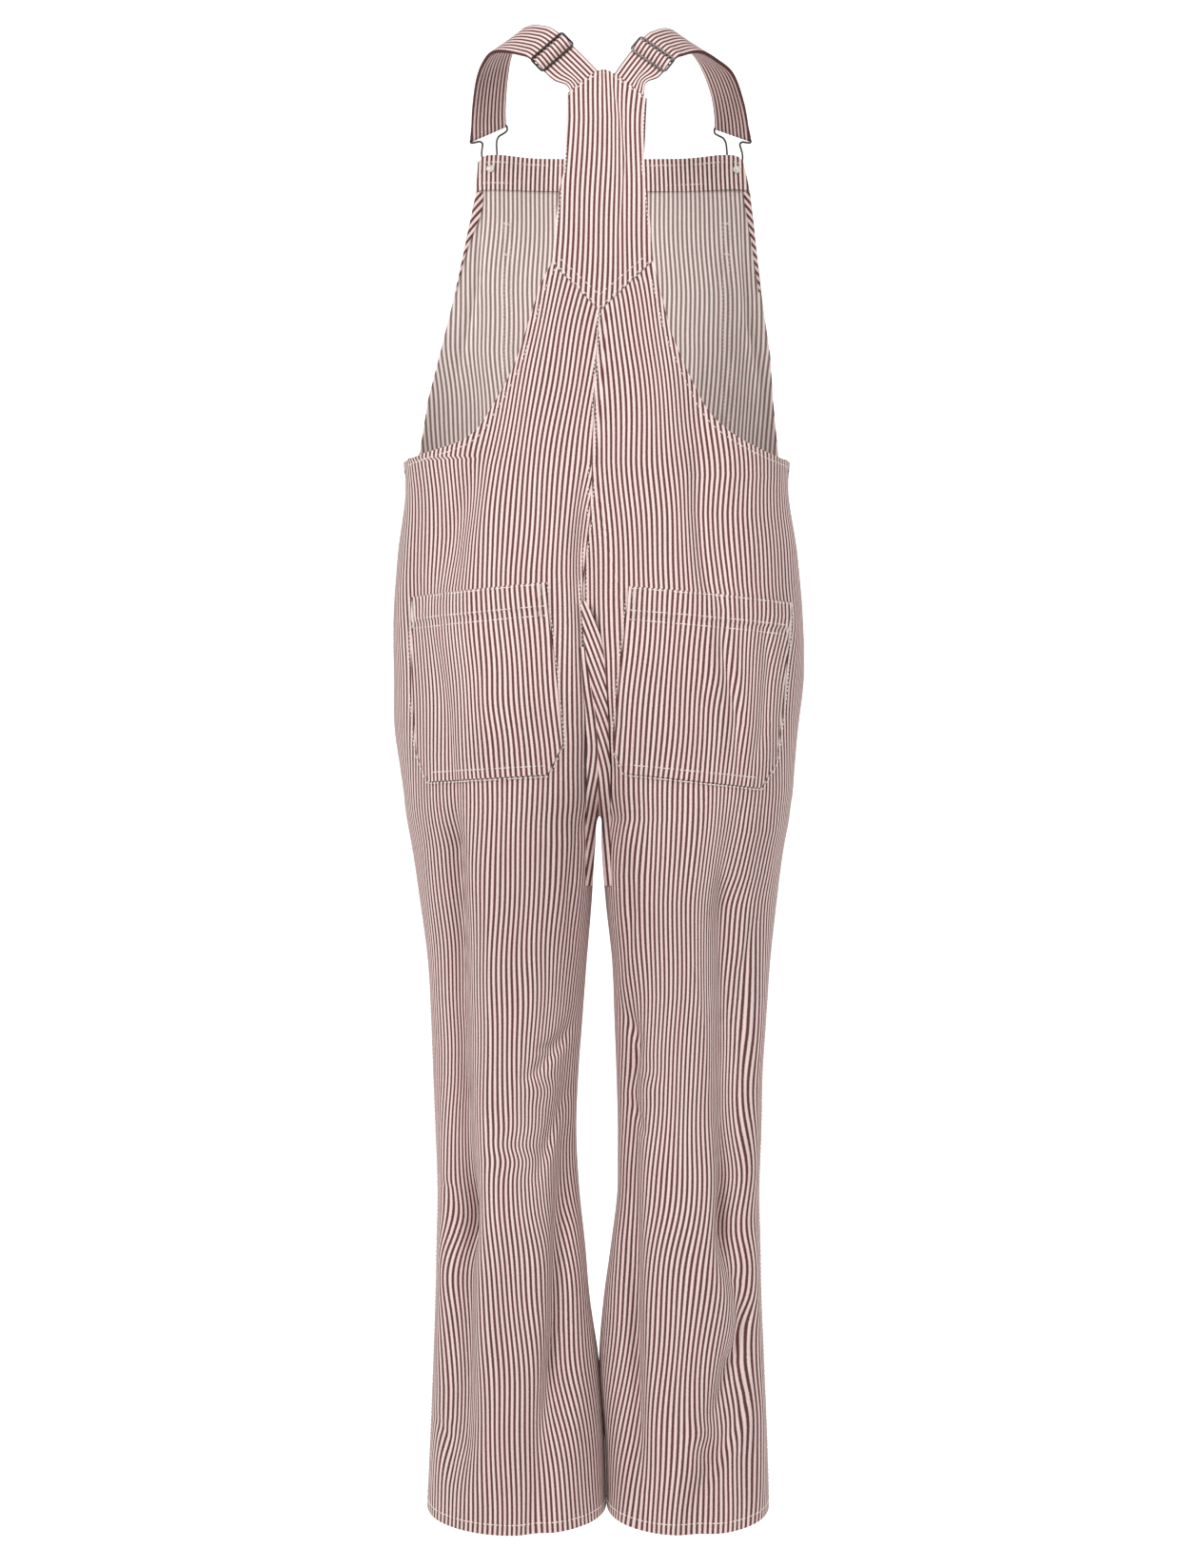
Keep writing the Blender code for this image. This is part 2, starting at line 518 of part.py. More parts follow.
# --- straps, sliders, clips and buttons ---------------------------------------------------------
class Strap:
    """The line of one strap: points at a distance s along it and a height h off it."""

    def __init__(self, side):
        stations = STRAPS[side]
        knots = np.array([(st.x, st.y, st.z) for st in stations])
        across = np.array([(st.across_x, st.across_y, st.across_z) for st in stations])
        step = (knots[0] - knots[1]) * (1, 0, 1)
        knots = np.vstack([knots[0] + step * TUCK / np.linalg.norm(step), knots])
        across = np.vstack([across[0], across])
        for knot, way in zip(knots[:2], across[:2]):
            here, there = (skin(side, BACK, knot[:1] + s * way[0], knot[2] + s * way[2])[0] for s in (0, 0.01))
            way[:] = (there - here) / 0.01
            knot[1] = here[1] + CLOTH + 3 * SEAM + STRAP_CLOTH / 2
        steps = np.concatenate([[0], np.cumsum(np.linalg.norm(np.diff(knots, axis=0), axis=1))])
        fine = np.linspace(0, steps[-1], 200)
        self.middle = self.rounded(steps, knots, fine)
        self.across = self.rounded(steps, across, fine)
        moves = np.linalg.norm(np.diff(self.middle, axis=0), axis=1)
        self.s = np.concatenate([[0], np.cumsum(moves)])
        self.length = self.s[-1]
        travel = np.gradient(self.middle, self.s, axis=0)
        self.travel = travel / np.linalg.norm(travel, axis=1)[:, None]
        dots = np.sum(self.across * self.travel, axis=1)[:, None]
        self.across = self.across - dots * self.travel
        self.across /= np.linalg.norm(self.across, axis=1)[:, None]
        self.up = -side * np.cross(self.across, self.travel)

    @staticmethod
    def rounded(steps, knots, fine):
        """Catmull-Rom curve through the knots, column by column."""
        slopes = np.gradient(knots, steps, axis=0)
        i = np.clip(np.searchsorted(steps, fine) - 1, 0, len(steps) - 2)
        gap = (steps[i + 1] - steps[i])[:, None]
        t = (fine - steps[i])[:, None] / gap
        start, end = knots[i], knots[i + 1]
        return (
            (2 * t**3 - 3 * t**2 + 1) * start + (t**3 - 2 * t**2 + t) * gap * slopes[i]
            + (3 * t**2 - 2 * t**3) * end + (t**3 - t**2) * gap * slopes[i + 1]
        )

    def frame(self, s):
        """(middle, travel, across, up) at s. Past either end the line runs on straight."""
        inside = float(np.clip(s, 0, self.length))
        pick = lambda table: np.array([np.interp(inside, self.s, table[:, k]) for k in range(3)])
        middle, travel, across, up = map(pick, (self.middle, self.travel, self.across, self.up))
        return middle + (s - inside) * travel, travel, across, up

    def point(self, s, h, off):
        """At its clip the strip is pulled askew, so its ends there run at STRAP_SKEW to it."""
        ease = float(np.clip((s - self.length + 0.055) / 0.045, 0, 1))
        s -= STRAP_SKEW * off * ease * ease * (3 - 2 * ease)
        middle, _, across, up = self.frame(s)
        return middle + h * up + off * across

    def bar(self):
        """(middle, direction towards the neck, direction down) of the clip's bar."""
        middle, travel, across, _ = self.frame(self.length)
        along = across - STRAP_SKEW * travel
        along /= np.linalg.norm(along)
        down = travel - (travel @ along) * along
        return middle, along, down / np.linalg.norm(down)


def strap_route(length, slider_at):
    """(s, h) of the strip: from the yoke through the slider, round the clip's bar and back."""
    ride = WIRE / 2 + SEAM + STRAP_CLOTH / 2
    half = SLIDER_LENGTH / 2
    over, under = SLIDER_RAISE + ride, SLIDER_RAISE - ride
    layer = (STRAP_CLOTH + SEAM) / 2
    route = [(s, 0.0) for s in (0.0, 0.005, 0.012, 0.018, 0.024)]
    route += [(slider_at - half - 0.003, under), (slider_at - half + 0.002, under)]
    for step in range(-3, 4):
        lift = cos(step / 3 * pi / 2) ** 0.8
        low = under + 1.3 * STRAP_CLOTH
        route.append((slider_at + step * 0.0019, low + (over - low) * lift))
    route += [(slider_at + half - 0.002, under), (slider_at + half + 0.003, under)]
    open_run = np.linspace(slider_at + half + 0.010, length - 0.010, 15)
    route += [(s, layer) for s in open_run] + [(length - 0.004, ride * 0.8)]
    for step in range(0, 9):
        turn = pi / 2 - step * pi / 8
        route.append((length + ride * cos(turn), ride * sin(turn)))
    route += [(length - 0.004, -ride * 0.8)] + [(s, -layer) for s in open_run[::-1]]
    return route + [(slider_at + half + 0.003, under - STRAP_CLOTH - SEAM)]


def make_strap(name, strap, slider_at, look):
    route = np.array(strap_route(strap.length, slider_at))
    run = np.gradient(route, axis=0)
    run /= np.linalg.norm(run, axis=1)[:, None]
    normal = np.stack([-run[:, 1], run[:, 0]], axis=1) * STRAP_CLOTH / 2
    offs = np.linspace(-STRAP_WIDTH / 2, STRAP_WIDTH / 2, 5)
    lines = [(off, 1) for off in offs] + [(off, -1) for off in offs[::-1]]
    points = [strap.point(s, h, off) for off, face in lines for s, h in route + face * normal]
    count, faces = len(route), []
    for line in range(len(lines)):
        here, there = line * count, (line + 1) % len(lines) * count
        for i in range(count - 1):
            quad = [here + i, here + i + 1, there + i + 1, there + i]
            faces.append(quad if line < len(offs) else quad[1:] + quad[:1])
    for i in (0, count - 1):
        faces.append([i + line * count for line in range(len(lines))])
    return add_mesh(name, points, faces, look)


def wire_object(name, points, look, closed=True):
    """A bent wire as a round tube along a poly line."""
    curve = bpy.data.curves.new(name, "CURVE")
    curve.dimensions = "3D"
    curve.bevel_depth = WIRE / 2
    curve.bevel_resolution = 2
    curve.use_fill_caps = True
    spline = curve.splines.new("POLY")
    spline.points.add(len(points) - 1)
    for target, point in zip(spline.points, points):
        target.co = (*map(float, point), 1)
    spline.use_cyclic_u = closed
    curve.materials.append(look)
    piece = bpy.data.objects.new(name, curve)
    bpy.context.collection.objects.link(piece)
    return piece


def mesh_of(piece):
    """Replaces a curve object by the mesh it draws, under the same name."""
    name = piece.name
    graph = bpy.context.evaluated_depsgraph_get()
    mesh = bpy.data.meshes.new_from_object(piece.evaluated_get(graph))
    bpy.data.objects.remove(piece)
    made = bpy.data.objects.new(name, mesh)
    bpy.context.collection.objects.link(made)
    return made


def make_slider(name, strap, slider_at, look):
    """A rounded wire rectangle over the strap with a bar across its middle, under the strap."""
    half_wide = STRAP_WIDTH / 2 + SEAM + WIRE / 2 + 0.0008
    half_long = SLIDER_LENGTH / 2
    corner = 0.0025
    outline = []
    for centre_s, centre_off, start in ((1, 1, 0), (-1, 1, 90), (-1, -1, 180), (1, -1, 270)):
        for step in range(4):
            turn = radians(start + step * 30)
            s = centre_s * (half_long - corner) + corner * cos(turn)
            off = centre_off * (half_wide - corner) + corner * sin(turn)
            outline.append((s, off))
    middle, travel, across, up = strap.frame(slider_at)
    at = lambda s, off: middle + s * travel + off * across + SLIDER_RAISE * up
    frame = mesh_of(wire_object(name, [at(*pair) for pair in outline], look))
    bar = mesh_of(wire_object(name + "_bar", [at(0, -half_wide), at(0, half_wide)], look, False))
    bar.hide_render = True
    bar.display_type = "WIRE"
    join = frame.modifiers.new("bar", "BOOLEAN")
    join.operation = "UNION"
    join.object = bar
    return frame


def make_clip(name, side, strap, look):
    """One wire: bar through the strap's fold, shoulders, neck, and a narrow foot on the shank."""
    middle, along, down_way = strap.bar()
    x, z = BUTTON[side]
    shank_y = bib_skin([x], [z])[0][1] + SHANK_LENGTH / 2 + SEAM
    foot_drop = middle[2] - z
    neck = [(point.off, point.down) for point in CLIP]
    foot = [radians(turn) for turn in (20, 55, 90, 125, 160)]
    foot = [(CLIP[-1].off * cos(turn), foot_drop + CLIP[-1].off * sin(turn)) for turn in foot]
    points = []
    for off, down in neck + foot + [(-off, down) for off, down in neck[::-1]]:
        on_bar = middle + off * along + down * down_way
        across_x = x + (middle[0] - x) * max(0.0, 1 - down / foot_drop)
        on_bib = np.array([across_x - side * off, shank_y, middle[2] - down])
        ease = min(1.0, down / 0.018)
        ease = ease * ease * (3 - 2 * ease)
        points.append(on_bar + ease * (on_bib - on_bar))
    return wire_object(name, points, look)


def lathe(name, profile, place, look, sides=16):
    """Turned piece: profile (radius, height) pairs, spun about an axis that points along +Y."""
    work = bmesh.new()
    ring = [work.verts.new((radius, 0, height)) for radius, height in profile]
    edges = [work.edges.new(pair) for pair in zip(ring, ring[1:])]
    bmesh.ops.spin(work, geom=ring + edges, cent=(0, 0, 0), axis=(0, 0, 1), dvec=(0, 0, 0),
                   angle=2 * pi, steps=sides, use_merge=True)
    bmesh.ops.remove_doubles(work, verts=work.verts, dist=1e-6)
    bmesh.ops.recalc_face_normals(work, faces=work.faces)
    mesh = bpy.data.meshes.new(name)
    work.to_mesh(mesh)
    work.free()
    mesh.transform(Matrix.Translation(Vector(place)) @ Matrix.Rotation(-pi / 2, 4, "X"))
    mesh.materials.append(look)
    piece = bpy.data.objects.new(name, mesh)
    bpy.context.collection.objects.link(piece)
    return piece


def make_fastenings(dark, pale):
    head = [
        (0, -SHANK_LENGTH), (SHANK_RADIUS, -SHANK_LENGTH), (SHANK_RADIUS, 0),
        (BUTTON_RADIUS, 0.0002), (BUTTON_RADIUS, 0.0014), (0.0072, 0.0020), (0, 0.0016),
    ]
    rivet = [(0, 0), (RIVET_RADIUS, 0), (0.0030, -0.0009), (0, -0.0012)]
    for side, word in ((LEFT, "left"), (RIGHT, "right")):
        strap = Strap(side)
        make_strap("strap_" + word, strap, SLIDER_AT[side], material("stripe", PINK))
        make_slider("slider_" + word, strap, SLIDER_AT[side], dark)
        make_clip("clip_" + word, side, strap, dark)
        x, z = BUTTON[side]
        y = bib_skin([x], [z])[0][1]
        lathe("button_" + word, head, (x, y + SEAM + SHANK_LENGTH, z), dark)
        lathe("rivet_" + word, rivet, (x, y - 2 * CLOTH - 3 * SEAM, z), pale, 12)


def main():
    for old in list(bpy.data.objects):
        bpy.data.objects.remove(old)
    stripe, inside = material("stripe", PINK), material("stripe_inside", PALE_PINK)
    make_backs(stripe)
    make_fronts(stripe)
    wall("back_yoke", yoke_patch, np.linspace(-1, 1, 13), np.linspace(0, 1, 9), stripe,
         outer=CLOTH, inner=CLOTH - DOUBLE)
    make_bib(stripe, inside)
    make_pockets(stripe)
    make_fastenings(
        material("dark_metal", DARK_METAL, 0.35, 1.0), material("pale_metal", PALE_METAL, 0.35, 1.0)
    )


main()
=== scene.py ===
# %% [markdown]
# # Dungarees with a pointed back yoke, seen from behind
# The imported solids give every sewn piece its place. This script dresses them: each piece of cloth
# becomes a fine shell on the same skin, with creases pressed in, stripes that follow the
# grain, and rows of real stitches. Cloth could be draped by simulation, but the folds of this one
# are known one by one, so they are listed and come out the same on every run.

# %% Load the solids
from collections import namedtuple
from math import cos, pi, radians, sin

import bmesh
import bpy
import numpy as np
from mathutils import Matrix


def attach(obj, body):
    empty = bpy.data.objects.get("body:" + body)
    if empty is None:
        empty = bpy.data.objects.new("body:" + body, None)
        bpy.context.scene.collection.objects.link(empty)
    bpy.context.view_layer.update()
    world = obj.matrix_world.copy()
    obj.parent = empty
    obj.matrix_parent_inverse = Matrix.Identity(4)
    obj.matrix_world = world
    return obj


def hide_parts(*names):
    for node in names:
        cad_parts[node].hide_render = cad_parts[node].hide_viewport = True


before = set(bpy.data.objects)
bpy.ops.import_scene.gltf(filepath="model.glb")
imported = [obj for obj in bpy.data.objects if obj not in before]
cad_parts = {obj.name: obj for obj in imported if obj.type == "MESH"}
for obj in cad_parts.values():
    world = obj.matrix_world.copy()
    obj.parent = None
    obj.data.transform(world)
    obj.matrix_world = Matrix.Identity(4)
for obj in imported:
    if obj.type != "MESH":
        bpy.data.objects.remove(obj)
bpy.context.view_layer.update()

# %% [markdown]
# ## Camera and light
# The garment is looked at square from behind, from a little over three metres, with a long lens,
# so that its upright lines stay upright. Hard sunlight would show the folds better, but a shop
# lights cloth with broad, soft lamps near the camera: the folds show gently and the colour is true.

# %% Camera
CAMERA_AWAY = 3.2  # metres behind the garment
CAMERA_HEIGHT = -0.715
VIEW_HEIGHT = 1.4832  # how much of the garment's plane the picture's long side shows

camera_data = bpy.data.cameras.new("camera")
camera_data.sensor_width = 36.0
camera_data.lens = camera_data.sensor_width * CAMERA_AWAY / VIEW_HEIGHT
camera = bpy.data.objects.new("camera", camera_data)
camera.location = (0, -CAMERA_AWAY, CAMERA_HEIGHT)
camera.rotation_euler = (pi / 2, 0, 0)
bpy.context.collection.objects.link(camera)
bpy.context.scene.camera = camera
bpy.context.scene.view_settings.view_transform = "Standard"
print(f"camera: {CAMERA_AWAY} m away, lens {camera_data.lens:.0f} mm")

# %% Lamps and sky
SKY_STRENGTH = 0.40


def soft_lamp(name, place, aim, size, power):
    lamp = bpy.data.lights.new(name, "AREA")
    lamp.shape = "DISK"
    lamp.size = size
    lamp.energy = power
    holder = bpy.data.objects.new(name, lamp)
    holder.location = place
    direction = np.array(aim) - np.array(place)
    turned = direction / np.linalg.norm(direction)
    holder.rotation_euler = (np.arccos(-turned[2]), 0, np.arctan2(turned[1], turned[0]) - pi / 2)
    bpy.context.collection.objects.link(holder)
    print(f"{name}: {power} W, {size} m across")


soft_lamp("key_lamp", (-1.7, -2.5, 0.25), (0, 0, 0.1), 1.2, 50)
soft_lamp("fill_lamp", (2.0, -2.4, 0.15), (0, 0, 0.1), 2.0, 28)
soft_lamp("top_lamp", (0.0, -1.6, 1.2), (0, 0.1, -0.1), 0.8, 14)
sky = bpy.data.worlds.new("sky")
sky.use_nodes = True
sky.node_tree.nodes["Background"].inputs["Color"].default_value = (1.0, 0.99, 0.98, 1)
sky.node_tree.nodes["Background"].inputs["Strength"].default_value = SKY_STRENGTH
bpy.context.scene.world = sky

# %% [markdown]
# ## Shader sums as Python
# Each finish is a node tree. Wiring every node by hand hides the idea, so `Signal` wraps one socket
# and shader maths reads like ordinary sums, and `Finish.node` makes any other node from its type,
# its settings and its inputs.

# %% Signal
class Signal:
    """One socket of a node tree, usable in Python sums."""

    def __init__(self, finish, socket):
        self.finish, self.socket = finish, socket

    def math(self, operation, *others):
        return self.finish.node("ShaderNodeMath", {"operation": operation}, [self, *others])

    def __add__(self, other):
        return self.math("ADD", other)

    def __sub__(self, other):
        return self.math("SUBTRACT", other)

    def __rsub__(self, other):
        return self.finish.node("ShaderNodeMath", {"operation": "SUBTRACT"}, [other, self])

    def __mul__(self, other):
        return self.math("MULTIPLY", other)

    __radd__ = __add__
    __rmul__ = __mul__


# %% Finish
class Finish:
    """A material under construction."""

    def __init__(self, name):
        self.material = bpy.data.materials.new(name)
        self.material.use_nodes = True
        self.tree = self.material.node_tree
        self.shader = self.tree.nodes["Principled BSDF"]

    def node(self, kind, settings=None, inputs=(), output=0):
        made = self.tree.nodes.new(kind)
        for key, value in (settings or {}).items():
            setattr(made, key, value)
        pairs = inputs.items() if isinstance(inputs, dict) else enumerate(inputs)
        for key, value in pairs:
            self.feed(made.inputs[key], value)
        return Signal(self, made.outputs[output])

    def feed(self, socket, value):
        if isinstance(value, Signal):
            self.tree.links.new(value.socket, socket)
        elif value is not None:
            socket.default_value = value

    def set(self, name, value):
        self.feed(self.shader.inputs[name], value)

    def blend(self, share, low, high):
        """A colour between two colours."""
        return self.node("ShaderNodeMix", {"data_type": "RGBA"}, {0: share, 6: low, 7: high}, 2)

    def ramp(self, value, start, end, low=0.0, high=1.0):
        """Smooth step of a value from `low` at start to `high` at end."""
        return self.node(
            "ShaderNodeMapRange", {"interpolation_type": "SMOOTHSTEP"}, [value, start, end, low, high]
        )

    def noise(self, across, along, detail=2.0, seed=0.0):
        place = self.node("ShaderNodeCombineXYZ", None, [across, along, seed])
        return self.node("ShaderNodeTexNoise", None, {"Vector": place, "Scale": 1.0, "Detail": detail})


# %% [markdown]
# ## The striped cloth
# Hickory stripe is a twill: dark warp yarns in narrow bands on a pale ground, crossed by pale weft
# yarns that nick the edges of each band. A picture of the weave would blur when seen close, so the
# pattern is worked out from the cloth's own coordinates, in metres across and along the warp, and
# it bends with every fold. The wrong side shows the same stripes, paler and softer at the edges; part
# of its paleness is painted light, to make up for the shade inside the bib.

# %% Measures and colours of the stripe
PITCH = 0.00465  # metres from stripe to stripe
STRIPE_SHARE = 0.49  # of the pitch that is dark
NICK = 0.0011  # metres from one weft nick to the next
SHARP, SOFT = 0.075, 0.11  # how gently a stripe's edge fades, as a share of the pitch
# Painted shade: the shins are darkened towards the hem, as if less lamp light reached them.
PAINTED_SHADE_FOOT, PAINTED_SHADE_TOP, PAINTED_SHADE_DEPTH = -1.42, -1.05, 0.15  # the shins are a little darker towards the hem

GROUND = (0.87, 0.708, 0.676, 1)
PINKER_GROUND = (0.87, 0.665, 0.640, 1)
STRIPE = (0.126, 0.049, 0.046, 1)
# The wrong side's ground and stripe are paler, as the real cloth's are, and partly painted light for the
# shade inside the bib.
INSIDE_GROUND = (0.92, 0.81, 0.77, 1)
# Painted light: the facing is the right side of the same cloth, given a paler ground to make up for the shade
# it lies in inside the bib.
PAINTED_LIGHT_FACING_GROUND = (0.97, 0.80, 0.765, 1)
INSIDE_STRIPE = (0.255, 0.180, 0.165, 1)
print(f"stripe: {PITCH * 1000:.2f} mm apart, {STRIPE_SHARE:.0%} dark")


# %% Striped cloth, right side and wrong side
def striped_cloth(name, ground, pinker, stripe, softness):
    finish = Finish(name)
    uv = finish.node("ShaderNodeUVMap", {"uv_map": "cloth"})
    across, along = (finish.node("ShaderNodeSeparateXYZ", None, [uv], part) for part in (0, 1))
    stripes = across * (1 / PITCH)
    off_middle = (stripes.math("FRACT") - 0.5).math("ABSOLUTE")
    nicks = (along * (2 * pi / NICK) + across * 4200).math("SINE") * 0.028
    # The noise factors are blotches a metre, across and along: 1500 is fibre, 22 is a worn patch.
    fuzz = (finish.noise(across * 1500, along * 700, 1.0) - 0.5) * 0.16
    edge = off_middle + nicks + fuzz
    half = STRIPE_SHARE / 2
    dark = finish.ramp(edge, half - softness, half + softness, 1.0, 0.0)
    yarns = finish.noise(across * 1300, along * 30, 1.0, 3.0)
    wefts = finish.noise(across * 90, along * 1500, 1.0, 7.0)
    wash = finish.noise(across * 22, along * 9, 2.0, 5.0)
    tint = finish.ramp(finish.noise(across * 210, along * 2.5, 0.0, 9.0), 0.35, 0.65)
    pale = finish.blend(tint, ground, pinker)
    colour = finish.blend(dark, pale, stripe)
    # painted shade: darker towards the hem, where the lamps give less light
    painted_shin_shade = finish.ramp(along, PAINTED_SHADE_FOOT, PAINTED_SHADE_TOP, -PAINTED_SHADE_DEPTH, 0.0)
    light = 1 + painted_shin_shade + (yarns - 0.5) * 0.30 + (wefts - 0.5) * 0.12 + (wash - 0.5) * 0.16
    grey = finish.node("ShaderNodeCombineColor", None, [light, light, light])
    shaded = finish.node("ShaderNodeMix", {"data_type": "RGBA", "blend_type": "MULTIPLY"},
                         {0: 1.0, 6: colour, 7: grey}, 2)
    finish.set("Base Color", shaded)
    finish.set("Roughness", 0.92)
    finish.set("Specular IOR Level", 0.12)
    finish.set("Sheen Weight", 0.03)
    twill = (across * 5200 + along * 5200).math("SINE") * 0.5
    height = twill + yarns * 0.8 - dark * 0.3
    finish.set("Normal", finish.node("ShaderNodeBump", None,
                                     {"Strength": 0.30, "Distance": 0.00025, "Height": height}))
    print(f"{name}: {len(finish.tree.nodes)} nodes")
    return finish.material


RIGHT_SIDE = striped_cloth("striped_cloth", GROUND, PINKER_GROUND, STRIPE, SHARP)
WRONG_SIDE = striped_cloth("striped_cloth_wrong_side", INSIDE_GROUND, INSIDE_GROUND, INSIDE_STRIPE, SOFT)
# painted light: a paler copy of the right side, for the shaded facing
PAINTED_LIGHT_FACING_SIDE = striped_cloth("striped_cloth_facing_painted_light", PAINTED_LIGHT_FACING_GROUND, PAINTED_LIGHT_FACING_GROUND, STRIPE, SHARP)

# %% [markdown]
# ## Thread and metal
# Sewing thread is matte and a little uneven. The wire is painted dark or left pale and satin. Each
# could have a finish of its own, but such small pieces show only their gloss and a little wear, so
# one recipe serves them all: a fine cloud that moves the colour and the roughness.

# %% Thread and metal
def plain_finish(name, colour, rough, metal, grain, grain_size):
    """A finish whose roughness varies by `grain`, in a cloud of spots `grain_size` metres wide."""
    finish = Finish(name)
    place = finish.node("ShaderNodeTexCoord", None, (), 3)
    cloud = finish.node("ShaderNodeTexNoise", None, {"Vector": place, "Scale": 1 / grain_size, "Detail": 3.0})
    worn = tuple(min(1.0, part * 1.25 + 0.02) for part in colour[:3]) + (1,)
    finish.set("Base Color", finish.blend(cloud, (*colour[:3], 1), worn))
    finish.set("Roughness", finish.ramp(cloud, 0.2, 0.8, rough - grain, rough + grain))
    finish.set("Metallic", metal)
    finish.set("Normal", finish.node("ShaderNodeBump", None,
                                     {"Strength": 0.2, "Distance": 0.0001, "Height": cloud}))
    print(f"{name}: {len(finish.tree.nodes)} nodes")
    return finish.material


THREAD = plain_finish("sewing_thread", (0.84, 0.77, 0.72), 0.8, 0.0, 0.05, 0.0004)
FADED_THREAD = plain_finish("sewing_thread_faded", (0.60, 0.52, 0.48), 0.85, 0.0, 0.05, 0.0004)
DARK_WIRE = plain_finish("dark_wire", (0.055, 0.045, 0.043), 0.34, 0.85, 0.08, 0.002)
PALE_WIRE = plain_finish("pale_wire", (0.22, 0.21, 0.20), 0.32, 0.95, 0.08, 0.002)
RIVET_METAL = plain_finish("rivet_metal", (0.62, 0.59, 0.55), 0.38, 0.55, 0.10, 0.002)

# %% [markdown]
# ## The skin
# All the cloth lies on one skin: level ovals, one row of the table each, with troughs pressed in.
# It is the form that the solids were built on, so the shells come out on top of them. It could be
# sculpted, but a table keeps the back and the front together along their seams. `FOLDS` are the
# large folds, which the solids have too, and `CREASES` are the finer ones.

# %% Levels and thicknesses
LEFT, RIGHT = -1, 1
SIDE_NAME = {LEFT: "left", RIGHT: "right"}
BACK, FRONT = -1, 1
CLOTH, DOUBLE, SEAM, LAP = 0.0012, 0.0024, 0.0003, 0.0011
HEM_Z, HEM_DIP, HEM_RISE, HEM_DEPTH = -1.405, 0.006, 0.011, 0.010
CROTCH_Z, SEAT_BLEND = -0.7450, 0.12
SIDE_TOP_Z, WAIST_Z, BAND_FOOT_Z = -0.4120, -0.4020, -0.4380
YOKE_TIP = (0.0000, -0.2800)
print(f"cloth {CLOTH * 1000:.1f} mm thick, seams {SEAM * 1000:.1f} mm open")

# %% Sections of the body and the legs
def table(fields, *rows):
    """Rows of numbers whose columns have names."""
    Row = namedtuple("Row", fields)
    return [Row(*row) for row in rows]


# At each height: the outer and inner edge of the left half and of the right half, how far the
# oval reaches to the back and to the front, and how square it is.
SECTIONS = table(
    "z left left_in right_in right back front square",
    (-1.420, -0.1635, 0.0069, 0.0070, 0.1605, 0.070, 0.062, 2.3),
    (-1.340, -0.1600, 0.0049, 0.0050, 0.1585, 0.068, 0.062, 2.3),
    (-1.260, -0.1570, -0.0005, -0.0004, 0.1555, 0.066, 0.064, 2.3),
    (-1.200, -0.1550, -0.0092, 0.0040, 0.1530, 0.064, 0.066, 2.3),
    (-1.150, -0.1540, -0.0135, 0.0108, 0.1520, 0.063, 0.069, 2.3),
    (-1.100, -0.1530, -0.0188, 0.0168, 0.1510, 0.062, 0.072, 2.3),
    (-1.040, -0.1550, -0.0218, 0.0172, 0.1530, 0.061, 0.073, 2.3),
    (-0.990, -0.1570, -0.0200, 0.0160, 0.1540, 0.062, 0.073, 2.3),
    (-0.936, -0.1590, -0.0160, 0.0140, 0.1575, 0.066, 0.073, 2.3),
    (-0.882, -0.1620, -0.0120, 0.0118, 0.1612, 0.075, 0.074, 2.3),
    (-0.828, -0.1690, -0.0075, 0.0060, 0.1670, 0.086, 0.076, 2.3),
    (-0.774, -0.1770, -0.0040, 0.0020, 0.1740, 0.097, 0.080, 2.35),
    (-0.745, -0.1822, -0.0008, 0.0008, 0.1792, 0.102, 0.084, 2.4),
    (-0.738, -0.1832, 0.0026, -0.0026, 0.1800, 0.103, 0.085, 2.4),
    (-0.725, -0.1845, 0.0100, -0.0100, 0.1820, 0.105, 0.086, 2.4),
    (-0.700, -0.1880, 0.0250, -0.0250, 0.1840, 0.109, 0.089, 2.4),
    (-0.666, -0.1930, 0.0500, -0.0500, 0.1870, 0.114, 0.092, 2.4),
    (-0.612, -0.1940, 0.1000, -0.1000, 0.1930, 0.116, 0.097, 2.4),
    (-0.560, -0.1945, 0.1400, -0.1400, 0.1920, 0.112, 0.100, 2.4),
    (-0.500, -0.1905, 0.1700, -0.1700, 0.1870, 0.103, 0.101, 2.5),
    (-0.423, -0.1830, 0.1780, -0.1830, 0.1780, 0.093, 0.101, 2.7),
    (-0.380, -0.1900, 0.1850, -0.1850, 0.1850, 0.091, 0.106, 2.7),
    (-0.300, -0.2150, 0.2250, -0.2150, 0.2250, 0.092, 0.114, 2.6),
    (-0.180, -0.2600, 0.2800, -0.2600, 0.2800, 0.093, 0.120, 2.5),
    (-0.050, -0.3000, 0.3200, -0.3000, 0.3200, 0.063, 0.110, 2.5),
)
print("sections:", len(SECTIONS))

# %% Centre seam and large folds
# The line of the back's centre seam.
CENTRE_BACK = table(
    "z x",
    (-0.760, 0.0000), (-0.738, 0.0000), (-0.674, -0.0026), (-0.600, -0.0120),
    (-0.537, -0.0157), (-0.508, -0.0133), (-0.474, -0.0089), (-0.404, -0.0063),
    (-0.335, -0.0038), (-0.280, 0.0000),
)
